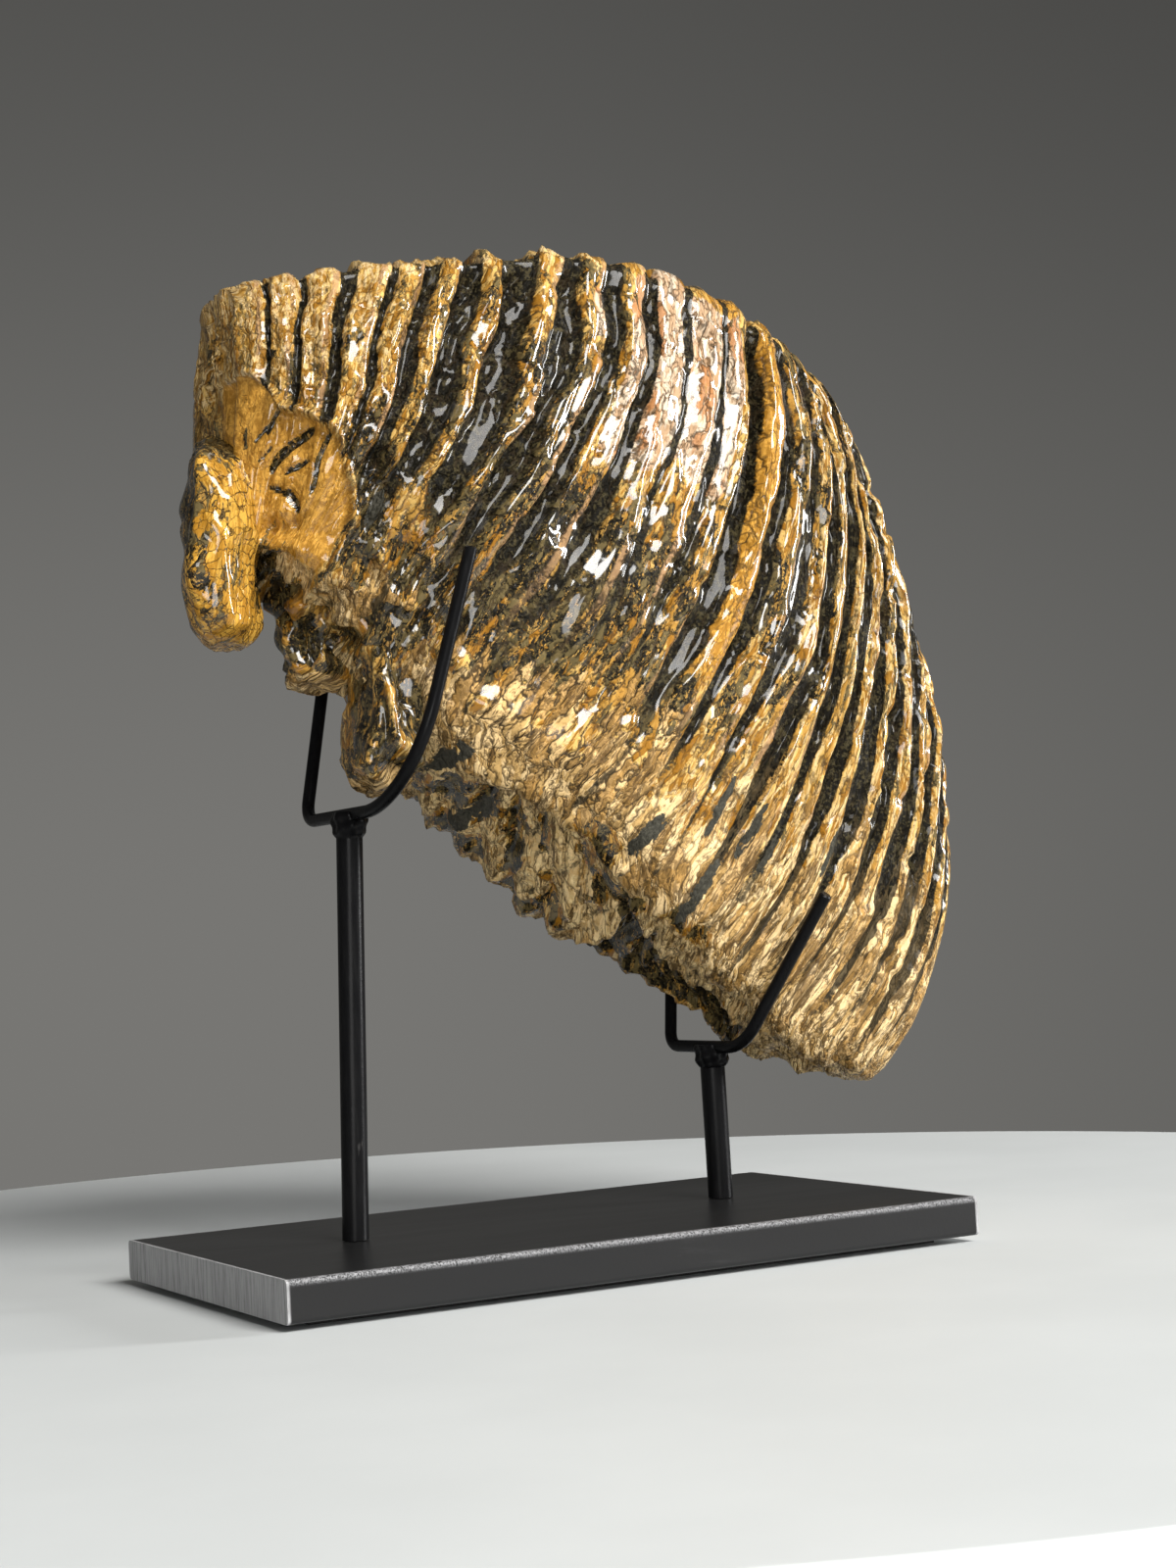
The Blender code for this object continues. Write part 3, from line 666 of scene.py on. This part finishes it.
def underside_relief(u, t, c, share):
    """The torn underside: slanting ropes and folds, plus a crest along its front edge and over the
    scarp, minus the broken hollow behind its lip."""
    edge = span(u, 10.8, 14.6, 0.7)
    under = ease(t, 0.955, 0.99)
    fold = (u - 12.82) - 1.6 * (c + 0.65)
    tear = ease(t + 0.03 * grain(u * 2.2, c * 3, 0, 55), 0.88, 0.95)
    ropes = np.abs(np.sin(math.pi * (fold / 0.9 + 0.35 * grain(u * 0.7, c * 2, 0, 56))))
    roping = under * span(u, 11.3, 16.6, 0.8) * ease(c, -0.62, -0.4)
    height = (0.0034 * ropes - 0.0022) * roping
    height += 0.0022 * grain(fold * 1.15, c * 2.6, t * 4, 5) * tear * (1 - 0.6 * roping)
    height += 0.0012 * grain(fold * 2.9, c * 6, t * 9, 57) * tear
    crest = under * hill(c, -0.7 + 0.05 * grain(u * 1.6, 0, 0, 58), 0.07) * edge
    scarp = 0.895 + 0.012 * np.clip(u - 9, -4, 4) + 0.012 * grain(u * 1.6, 0, 0, 59)
    lower = share.front * (1 - share.worn) * span(u, 6.4, 12.4, 0.9)
    crest = np.maximum(crest, lower * hill(t, scarp, 0.022))
    under = np.maximum(under, lower * ease(t, scarp + 0.012, scarp + 0.03))
    height += 0.0021 * crest - 0.0013 * under * hill(c, -0.86, 0.05) * edge
    lip = -0.44 + 0.17 * np.clip(u - 15.4, 0, 2.4) + 0.02 * np.clip(u - 17.8, 0, 4)
    hollow = under * ease(c, lip, lip + 0.09) * span(u, 15.9, 20.3, 0.5) * ease(c, 0.8, 0.55)
    height += 0.0016 * under * hill(c, lip - 0.05, 0.07) * span(u, 15.4, 20.6, 0.5) - 0.0052 * hollow
    # The crest goes on to a painted highlight, and the hollow and the valleys between the ropes to painted
    # shade.
    share.under, share.crest, share.hollow = under, crest, hollow
    share.ropes = roping * (1 - ropes)
    return height


def neck_relief(u, t, c, place, share):
    """Where the crown turns into roots: knobs and hanging folds, minus a recess beside the front root
    and one furrow down the shown side."""
    unworn = 1 - share.worn
    rooty = ease(u, 10.5, 7.5) * ease(t, 0.78, 0.9) * unworn
    nearer = 0.9 * ease(u, 8.0, 5.6) * ease(t, 0.6, 0.72) * unworn * share.front
    rooty = np.maximum(rooty, nearer)
    recess = span(u, 1.9, 3.0, 0.7) * ease(t, 0.84, 0.9) * share.front
    share.rooty = rooty
    # The recess joins the hollow share, which is painted darker as shade.
    share.hollow = np.maximum(share.hollow, 0.3 * recess)
    height = rooty * (0.0022 * hanging(place) + 0.003 * (knobs(place) - 0.5)) - 0.003 * recess
    return height - 0.0036 * hill(u, 13.02, 0.24) * ease(t, 0.56, 0.42) * ease(-c, 0.55, 0.9)


def crown_relief(u, t, c, place):
    """Height over the smooth surface, the sum of the plates, the worn facet, the underside and the
    root necks, and the shares that the stains, the painted shade and the painted highlights read."""
    share = crown_shares(u, t, c, place)
    height = plate_relief(u, t, c, place, share)
    height += 0.0026 * share.rim * (1 + 0.8 * grain(u * 4, t * 30, c, 54))
    height -= 0.003 * share.worn + 0.0024 * share.slots
    height += underside_relief(u, t, c, share)
    height += neck_relief(u, t, c, place, share)
    share.gap = share.gap * (1 - 0.9 * share.worn) * (1 - 0.6 * share.fade)
    share.slots = np.clip(share.slots, 0, 1)
    return height, share


def warm_stains(u, t, torn, front, share):
    """Where the crown is rose, amber or gold: the strongest of a few soft-edged patches. The gold
    share also takes the painted highlight along the facet's rim.
    """
    rose = span(u, 9.7, 12.3, 0.4) * span(torn, 0.05, 0.38, 0.06) * front
    rose = np.maximum(rose, 0.75 * span(u, 9.5, 9.9, 0.25) * span(t, 0.14, 0.42, 0.05) * front)
    rose = np.maximum(rose, 0.8 * span(u, 8.6, 9.0, 0.2) * span(t, 0.13, 0.2, 0.04) * front)
    amber = span(u, 13.2, 13.85, 0.25) * span(t, 0.09, 0.68, 0.05) * front
    amber = np.maximum(amber, 0.9 * share.worn * (1 - share.under))
    amber = np.maximum(amber, span(u, 7.72, 7.98, 0.1) * span(t, 0.15, 0.29, 0.03) * front)
    amber = np.maximum(amber, 0.9 * hill(u, 12.1, 0.45) * ease(t, 0.08, 0.05))
    # The rim's share is painted highlight; the rest is gold stain.
    gold_and_highlight = 1.1 * share.rim + ease(u, 5.4, 3.6) * ease(t, 0.52, 0.36)
    gold_and_highlight += 0.9 * ease(t, 0.13, 0.05) * ease(u, 12, 9)
    gold_and_highlight = np.maximum(gold_and_highlight, 0.95 * ease(u, 12.0, 15.5))
    return rose, amber, gold_and_highlight


def side_darkness(u, t, front, share, rose, amber, gold_and_highlight):
    """How readily the crown's sides go black: an even share, plus wide areas, the thin far plates'
    edges and the dark spots, minus the warm stains, or the slots' share where that is more; then
    paler on the cap, and paler along the facet's rim and the underside crest as painted highlight."""
    dark = 0.43 + 0.09 * ease(u, 4.0, 6.0) * ease(u, 10.4, 9.2) * ease(t, 0.12, 0.3)
    dark += 0.1 * hill(t, 0.56, 0.16) * ease(u, 5, 8) * ease(u, 19, 16)
    dark += 0.15 * ease(u, 13.9, 15.0) * (1 - 0.6 * ease(t, 0.5, 0.8))
    dark -= 0.13 * gold_and_highlight * (u < 12) + 0.36 * rose + 0.32 * amber
    dark -= 0.1 * ease(u, 12, 15) * ease(t, 0.55, 0.72)
    edges = ease(np.abs(share.away - 0.36), 0.06, 0.17) - 0.75
    dark += ease(u, 14.4, 16.5) * 0.34 * edges
    for at_u, at_t, wide, amount in DARK_SPOTS:
        dark += amount * hill(u, at_u, wide) * hill(t, at_t, wide * 0.12) * front
    # Painted highlight: paler along the facet's rim.
    dark = np.maximum(dark - 0.5 * share.rim, 1.6 * share.slots)
    # Painted highlight: paler along the underside crest.
    return dark - 0.06 * share.cap - 0.25 * share.crest


def underside_darkness(u, t, c):
    """How readily the underside goes black: a low share plus bands, and blotches to add to it."""
    gloom = 0.16 + 0.22 * span(u, 10.7, 13.2, 0.5) * span(c, -0.45, 0.5, 0.15)
    gloom -= 0.3 * span(u, 9.0, 11.0, 0.4) * ease(c, -0.4, -0.6)
    gloom += 0.12 * span(u, 4.0, 8.6, 0.6) * ease(c, -0.8, -0.4) + 0.06 * ease(c, 0.1, 0.7)
    blotches = 0.55 * grain(u * 1.5, c * 4, t * 4, 63) + 0.35 * grain(u * 4.2, c * 9, t * 9, 64)
    return gloom, blotches * ease(u, 18, 17)


def crown_stains(u, t, c, smooth, share):
    """What the finish reads at each point of the crown. Dark is how readily it goes black, and also
    carries painted shade in hollows, pits and low places and a painted highlight on the crest; tan
    how far it lies below the edge of the tan band, in tenths of a plate's height. Gold also carries
    painted highlight on the facet's rim and the knob tops."""
    front = ease(-c, -0.2, 0.3)
    torn = t + 0.05 * grain(u * 1.25, t * 1.5, c, 61) + 0.02 * grain(u * 3.1, t * 5, c, 62)
    rose, amber, gold_and_highlight = warm_stains(u, t, torn, front, share)
    under, rooty, worn = share.under, share.rooty, share.worn
    lumps = knobs(smooth)
    gloom, blotches = underside_darkness(u, t, c)
    dark = side_darkness(u, t, front, share, rose, amber, gold_and_highlight) * (1 - under) + gloom * under
    # Painted shade and highlight on the knobs and hanging folds of the root necks: darker in the low places,
    # paler on the raised ones.
    dark -= rooty * (0.3 * hanging(smooth) + 0.42 * lumps - 0.26)
    # Painted shade: darker in the hollows, the recess beside the front root, between the ropes and in the
    # pits.
    dark += 0.9 * share.hollow + 0.35 * share.ropes + 0.15 * share.pits
    dark += under * blotches
    tan = (torn - through(*TAN_EDGE, u)) * 10 - 0.45 * ease(share.away, 0.34, 0.06)
    tan = tan * (1 - under) + (0.95 - 3.4 * ease(dark, 0.42, 0.72)) * under
    tan -= 3.0 * share.hollow + 4.0 * worn * (1 - under)
    slate = np.zeros_like(u)
    for at_u, at_t, at_c, wide in SLATE_SPOTS:
        patch = hill(u, at_u, wide * 0.62) * hill(t, at_t, 0.05 + 0.04 * wide) * hill(c, at_c, 0.45)
        slate = np.maximum(slate, patch * 1.15)
    return {"plate": u - 1.6 * (c + 1) * under + 3.2 * (c + 1) * share.cap,
            "run": t * 10 + 2.5 * (c + 1) * under, "side": c, "tan": tan, "amber": amber, "dark": dark,
            "rose": np.maximum(rose, 0.43 * under * ease(t, 0.985, 1.0)),
            # The gold share also takes painted highlight on the knob tops of the root necks.
            "gold_and_highlight": np.maximum(np.maximum(gold_and_highlight, 0.7 * under), 0.9 * rooty * ease(lumps, 0.1, 0.8)),
            "slate": slate - 0.45, "worn": worn * (1 - 0.8 * share.slots), "root": 0.0,
            "gap": share.gap, "away": share.away, "lean": share.lean, "fade": share.fade}


def point_normals(places, quads):
    """Each point's outward direction: the sum of its quads' diagonal cross products, made unit length."""
    cross = np.cross(places[quads[:, 2]] - places[quads[:, 0]], places[quads[:, 3]] - places[quads[:, 1]])
    total = np.zeros_like(places)
    for corner in range(4):
        for axis in range(3):
            total[:, axis] += np.bincount(quads[:, corner], cross[:, axis], len(places))
    return total / np.maximum(np.linalg.norm(total, axis=1), 1e-12)[:, None]


def crown():
    """The smooth crown with its relief raised on it, which is weaker along the block's edges."""
    columns = LAMELLAE * COLUMNS_PER_PLATE
    points, quads = box_skin(columns, ROWS, LAYERS)
    u, t, c, smooth = crown_surface(points, columns, ROWS, LAYERS)
    height, share = crown_relief(u, t, c, smooth)
    sides = np.abs(2 * points / (columns, ROWS, LAYERS) - 1) * (0.97, 1, 1)
    height = height * (1 - 0.72 * ease(np.sort(sides, axis=1)[:, 1], 0.8, 0.98))
    places = smooth + point_normals(smooth, quads) * height[:, None]
    return places, quads, crown_stains(u, t, c, smooth, share)


def weather_and_shade(shade, a, b, c):
    """The front root's own colours: painted shade down its left side, darker at its top left, amber at its
    top right, bare at its end.
    """
    # Painted shade: darker down the left side.
    left = ease(b + 0.22 * grain(a * 7, c * 3, b * 3, 91), 0.1, 0.5)
    upper = 1 - ease(a + 0.06 * grain(b * 3, c * 3, 0, 92), -0.62, -0.5)
    shade_and_darkening = 0.3 * left + 0.3 * upper * ease(b, -0.5, 0.0)
    shade["dark"] += shade_and_darkening * ease(a, 0.95, 0.8)
    shade["amber"] = 0.9 * upper * ease(b, 0.0, -0.5)
    shade["root"] = 1 - upper
    shade["tan"] += 2.0 * ease(a, 0.86, 0.98)


def root(spine, widths, depths, rings, sides, seed, rugged, dark, amber, weathered_and_shaded=False):
    """An oval tube along a spine, turned with the jaw and rounded at both ends, with shallow grooves
    down it, lumps and pits. Rugged is the share of them, 1 on the lumpy roots."""
    points, quads = box_skin(rings, sides, sides)
    a = 2 * points[:, 0] / rings - 1
    b, c = squared_round(2 * points[:, 1] / sides - 1, 2 * points[:, 2] / sides - 1, 2.6)
    keys = np.linspace(-1, 1, len(spine))
    end = (1 - np.abs(0.98 * a) ** 5) ** (1 / 3)
    centre = np.stack([through(keys, [p[i] for p in spine], a) for i in range(3)], -1)
    wide = through(keys, widths, a) / 2 * end
    deep = through(keys, depths, a) / 2 * end
    smooth = centre + np.stack([ROOT_TURN * deep * c - wide * b, deep * c, 0 * a], -1)
    px, py, pz = smooth.T
    turn = np.arctan2(b, c)
    folds, lumps = hanging(smooth), knobs(smooth)
    pits = ease(grain(px * 240, py * 240, pz * 150, seed + 5), 0.4, 0.7)
    coarse = 0.0022 * folds + 0.0032 * (lumps - 0.5)
    coarse = coarse + 0.0016 * rough_grain(px * 150, py * 150, pz * 90, seed + 7, 2)
    height = 0.001 * grain(b * 3 + seed, c * 3, a * 1.5, seed)
    height += 0.0009 * grain(px * 120, py * 120, pz * 70, seed + 1)
    height += 0.0005 * rough_grain(px * 300, py * 300, pz * 160, seed + 2, 2)
    height += rugged * (coarse + 0.0014 * grain(turn * 1.2, a * 5.0, 0, seed + 4))
    height -= (0.0002 + 0.0016 * rugged) * pits
    height = height * (1 - (0.85 - 0.5 * rugged) * ease(np.abs(a), 0.8, 0.98))
    shade = {"plate": 95 * (px + 0.8 * py) + seed, "run": 60 * (pz + 0.7 * py - 0.4 * px), "side": c,
             "gap": 0.0, "away": 0.5, "lean": 0.0, "rose": 0.0, "slate": -1.5, "fade": 1.0, "worn": 0.0,
             # The gold share here is painted highlight on the knob tops.
             "amber": amber, "root": 1.0 - rugged, "gold_and_highlight": 0.9 * rugged * ease(lumps, 0.1, 0.8),
             "tan": -4.0 + 5.0 * rugged * ease(a, 0.74, 0.92)}
    # Painted shade and highlight: darker in the pits, between the knobs and under the folds, paler on the
    # raised ones.
    relief_shade = 0.3 * pits - 0.42 * lumps + 0.12 - 0.3 * folds
    shade["dark"] = dark + rugged * (relief_shade + 0.2 * grain(turn * 2, a * 3, c, seed + 6))
    if weathered_and_shaded:
        ribs = grain(turn * 5, a * 2.2, 0, 93)
        height += 0.001 * ribs * (1 - ease(np.abs(a), 0.8, 0.95))
        weather_and_shade(shade, a, b, c)
    return smooth + point_normals(smooth, quads) * height[:, None], quads, shade


HONEY, LIGHT_HONEY, OCHRE = (0.4, 0.215, 0.04), (0.59, 0.38, 0.115), (0.26, 0.115, 0.01)
GOLD, LIGHT_GOLD, STRAW = (0.34, 0.16, 0.014), (0.58, 0.32, 0.05), (0.36, 0.2, 0.045)
CREAM_AND_HIGHLIGHT, BROWN, RUST = (0.7, 0.54, 0.31), (0.08, 0.034, 0.005), (0.38, 0.15, 0.04)
ROSE, PETAL, ENAMEL = (0.4, 0.255, 0.145), (0.58, 0.46, 0.33), (0.36, 0.21, 0.1)
AMBER, LIGHT_AMBER = (0.31, 0.145, 0.016), (0.58, 0.3, 0.05)
BLACK, MOSS = (0.0045, 0.0035, 0.0015), (0.034, 0.026, 0.009)
OLIVE, SOOT = (0.11, 0.08, 0.03), (0.05, 0.04, 0.018)
TAN, LIGHT_TAN, PALE_TAN = (0.49, 0.31, 0.115), (0.64, 0.43, 0.19), (0.79, 0.57, 0.29)
DEEP_TAN, RUSTY_TAN = (0.11, 0.06, 0.015), (0.36, 0.18, 0.036)
SUNNY_TAN, PALE_SUNNY_TAN = (0.62, 0.43, 0.19), (0.86, 0.66, 0.34)
SLATE, PALE_SLATE = (0.034, 0.032, 0.024), (0.06, 0.056, 0.042)
CRACK, HAIRLINE, ROOT_CRACK = (0.022, 0.014, 0.006), (0.07, 0.035, 0.01), (0.028, 0.014, 0.004)
FIBRE, GROOVE = (0.055, 0.03, 0.01), (0.022, 0.018, 0.01)

fossil = Finish("varnished_fossil")
mix = fossil.mix
spot = fossil.place()
MEASURES = ("plate", "run", "side", "gap", "away", "lean", "tan", "amber", "rose", "dark", "gold_and_highlight",
            "slate", "fade", "worn", "root")
(plate_at, run, across, gap, away, lean, tan_depth, amber, rose, dark, gold_and_highlight,
 slate, fade, worn, is_root) = (fossil.measure(name) for name in MEASURES)


def along(u_scale, t_scale, shift=0.0):
    """A place that is drawn out along the plates: plate number, share down it and side, each scaled."""
    return fossil.node("ShaderNodeCombineXYZ", None, {
        0: plate_at * u_scale + shift, 1: run * t_scale, 2: across * 2 + shift})


def pushed(place, amount):
    """A place pushed about by the ripple, so that cells and cracks get ragged sides."""
    return fossil.node("ShaderNodeVectorMath", {"operation": "MULTIPLY_ADD"},
                       {0: ripple, 1: (amount, amount, amount), 2: place})


# Streaks and hair run along the plates, and flecks and crumbs lie anywhere. The two sizes of
# cells, chips and splinters, have seams that open as cracks.
ripple = fossil.node("ShaderNodeTexNoise", None, {"Vector": along(2.6, 2.2), "Scale": 1.0, "Detail": 3.0}, 1)
streaks = fossil.noise(along(2.4, 0.7), 1, 5, 0.62, 0.4)
hair = fossil.noise(along(9, 2.0, 3.0), 1, 4, 0.68, 0.5)
flecks = fossil.noise(spot, 300, 5, 0.72, 0.6)
crumbs = fossil.noise(spot, 900, 2, 0.7)
chip_place, splinter_place = pushed(along(3.4, 1.15, 4.0), 1.9), pushed(along(8.5, 3.2, 9.0), 1.9)
chip, splinter = fossil.cells(chip_place, 1, "F1", 1), fossil.cells(splinter_place, 1, "F1", 1)
chip_seam = fossil.cells(chip_place, 1, "DISTANCE_TO_EDGE")
splinter_seam = fossil.cells(splinter_place, 1, "DISTANCE_TO_EDGE")
TEXTURES = dict(streaks=streaks, hair=hair, flecks=flecks, crumbs=crumbs, chip=chip, splinter=splinter)


def ragged(base, low, high, **swings):
    """From 0 at low to 1 at high, after each named texture's swing about its middle is added to the
    base, which makes the edge ragged."""
    for texture, amount in swings.items():
        base = base + (TEXTURES[texture] - 0.5) * amount
    return base.between(low, high)


crack = chip_seam.between(0.08, 0.016) * (1 - worn * 0.8) * ragged(flecks, 0.4, 0.48, streaks=1.2)
hairline = (splinter_seam.between(0.11, 0.02) * (1 - worn)
            * (flecks - (streaks - 0.5) * 1.2).between(0.45, 0.53))
fibre = ragged(hair, 0.47, 0.41, streaks=0.5, flecks=0.3)

# The varnished honey colour, with rose, amber and gold areas, and cream that is partly painted highlight.
warm = mix(ragged(streaks, 0.4, 0.58, chip=0.4), OCHRE, HONEY)
warm = mix(ragged(hair, 0.44, 0.56, splinter=0.5) * 0.85, warm, LIGHT_HONEY)
# Cream where the gold share is high, which on the facet's rim and the knob tops is painted highlight.
warm = mix(ragged(gold_and_highlight, 0.7, 1.05, splinter=0.9) * hair.between(0.44, 0.6) * 0.62, warm, CREAM_AND_HIGHLIGHT)
warm = mix(is_root, warm, mix(ragged(hair, 0.42, 0.56, streaks=0.9), GOLD, LIGHT_GOLD))
warm = mix((flecks + 0.03 * worn).between(0.57, 0.66) * 0.8, warm, BROWN)
rosy = mix(ragged(splinter, 0.38, 0.6, hair=0.8), ROSE, PETAL)
rosy = mix(ragged(streaks, 0.55, 0.63, chip=0.4) * 0.8, rosy, RUST)
warm = mix(ragged(rose, 0.4, 0.52, streaks=0.9, chip=0.5), warm, rosy)
ambery = mix(ragged(flecks, 0.42, 0.6, hair=0.5), AMBER, LIGHT_AMBER)
warm = mix(ragged(amber, 0.4, 0.56, flecks=0.5), warm, ambery)
warm = mix(hairline * (1 - is_root) * (1 - 0.35 * gold_and_highlight) * 0.8, warm, HAIRLINE)

# The black stain over it, thin enamel lines beside the grooves, and what fills the grooves.
night = mix(crumbs.between(0.44, 0.62), BLACK, MOSS)
night = mix(ragged(flecks, 0.51, 0.59, splinter=0.35) * (1 - 0.5 * gap), night, OLIVE)
night = mix(ragged(hair, 0.565, 0.645, crumbs=0.5) * (1 - gap), night, STRAW)
stain = ragged(dark, 0.49, 0.55, streaks=1.1, hair=0.6, chip=0.42, splinter=0.36, flecks=0.6)
glossy = mix(stain, warm, night)
enamel = away.between(0.18, 0.22) * away.between(0.36, 0.3) * lean.between(-0.1, -0.5)
enamel = enamel * (1 - is_root) * (1 - worn)
enamel = enamel * ragged(streaks, 0.4, 0.54, crumbs=0.5) * (1 - fade) * 0.85
glossy = mix(enamel, glossy, ENAMEL)
filling = mix(ragged(flecks, 0.47, 0.66, crumbs=0.8), BLACK, SOOT)
glossy = mix(ragged(gap, 0.4, 0.6, crumbs=0.5), glossy, filling)
glossy = mix(crack * (1 - is_root) * (1 - 0.35 * gold_and_highlight) * 0.75, glossy, CRACK)

# The bare tan band and the slate patches, which have hardly any varnish.
sand = mix(ragged(splinter, 0.4, 0.62, hair=0.9), TAN, mix(gold_and_highlight, LIGHT_TAN, PALE_TAN))
sand = mix(ragged(chip, 0.6, 0.7, streaks=0.8) * 0.55, sand, RUSTY_TAN)
sand = mix(ragged(flecks, 0.53, 0.6, hair=0.6, chip=0.3) * 0.62, sand, DEEP_TAN)
sunny = mix(hair.between(0.42, 0.56), SUNNY_TAN, PALE_SUNNY_TAN)
sand = mix(ragged(rose, 0.3, 0.6, flecks=0.8), sand, sunny)
sand = mix((hairline * 0.6).maths("MAXIMUM", fibre * 0.85), sand, FIBRE)
sand = mix(crack * (0.92 - 0.35 * gold_and_highlight), sand, CRACK)
sand = mix(ragged(gap, 0.38, 0.5, streaks=0.6, flecks=0.4) * 0.9, sand, GROOVE)
pale = ragged(tan_depth, -0.06, 0.1, streaks=3.4, hair=1.2, chip=1.8, flecks=1.2)
colour = mix(pale, glossy, sand)
slaty = ragged(slate, 0.2, 0.25, flecks=0.8, streaks=1.0, chip=0.6)
colour = mix(slaty, colour, mix(crumbs.between(0.4, 0.7), SLATE, PALE_SLATE))
crazing = fossil.cells(pushed(spot, 0.005), 300, "DISTANCE_TO_EDGE").between(0.06, 0.015)
crazing = crazing * is_root * (0.45 + 0.55 * flecks.between(0.42, 0.54))
colour = mix(crazing * 0.88, colour, ROOT_CRACK)

waves = fossil.noise(along(4.5, 1.5, 7.0), 1, 1, 0.5, 0.5)
height = (chip_seam.between(0.0, 0.16) * (0.26 - 0.12 * gold_and_highlight) + splinter_seam.between(0.0, 0.24) * 0.07
          + chip * 0.24 + splinter * 0.09 + waves * (0.46 + 0.25 * gold_and_highlight) + hair * 0.14
          + flecks * (0.05 + 0.1 * pale + 0.05 * stain))
height = height * (1 - 0.6 * is_root) * (1 - 0.65 * worn) - crazing * 0.1
varnish = (1 - 0.88 * pale) * (1 - 0.7 * gap) * (1 - 0.8 * slaty)
fossil_finish = fossil.coat(
    Base_Color=colour,
    Roughness=0.6,
    Specular_IOR_Level=0.08,
    Coat_Weight=varnish * (0.7 + 0.3 * streaks.between(0.35, 0.6)),
    Coat_Roughness=0.09,
    Normal=fossil.bump(height, 0.9, 0.0022))

# The crown, the long front root, and the second and third root.
grown = (
    crown(),
    root(((-0.0945, 0.008, 0.256), (-0.0995, -0.0035, 0.243),
          (-0.1018, -0.006, 0.219), (-0.1, -0.004, 0.1905)),
         (0.0225, 0.025, 0.026, 0.0255), (0.03, 0.035, 0.035, 0.032), 60, 16,
         seed=11, rugged=0.35, dark=0.21, amber=0.0, weathered_and_shaded=True),
    root(((-0.074, 0.004, 0.232), (-0.071, 0.006, 0.207), (-0.067, 0.008, 0.1795)),
         (0.026, 0.023, 0.024), (0.044, 0.04, 0.034), 44, 16,
         seed=21, rugged=1.0, dark=0.58, amber=0.35),
    root(((-0.057, -0.003, 0.236), (-0.053, -0.004, 0.205),
          (-0.05, -0.005, 0.175), (-0.0535, -0.004, 0.1462)),
         (0.018, 0.024, 0.026, 0.024), (0.036, 0.048, 0.058, 0.056), 52, 20,
         seed=31, rugged=0.95, dark=0.54, amber=0.3))
starts = np.cumsum([0] + [len(places) for places, _, _ in grown])
tooth_places = np.concatenate([places for places, _, _ in grown])
tooth_quads = np.concatenate([quads + start for (_, quads, _), start in zip(grown, starts)])
tooth = new_piece("tooth_body", tooth_places, [tuple(quad) for quad in tooth_quads.tolist()], fossil_finish)
for measure in MEASURES:
    values = np.concatenate([np.broadcast_to(stains[measure], len(places)) for places, _, stains in grown])
    tooth.data.attributes.new(measure, "FLOAT", "POINT").data.foreach_set("value", values.astype(np.float32))
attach(tooth, "root")
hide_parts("tooth")
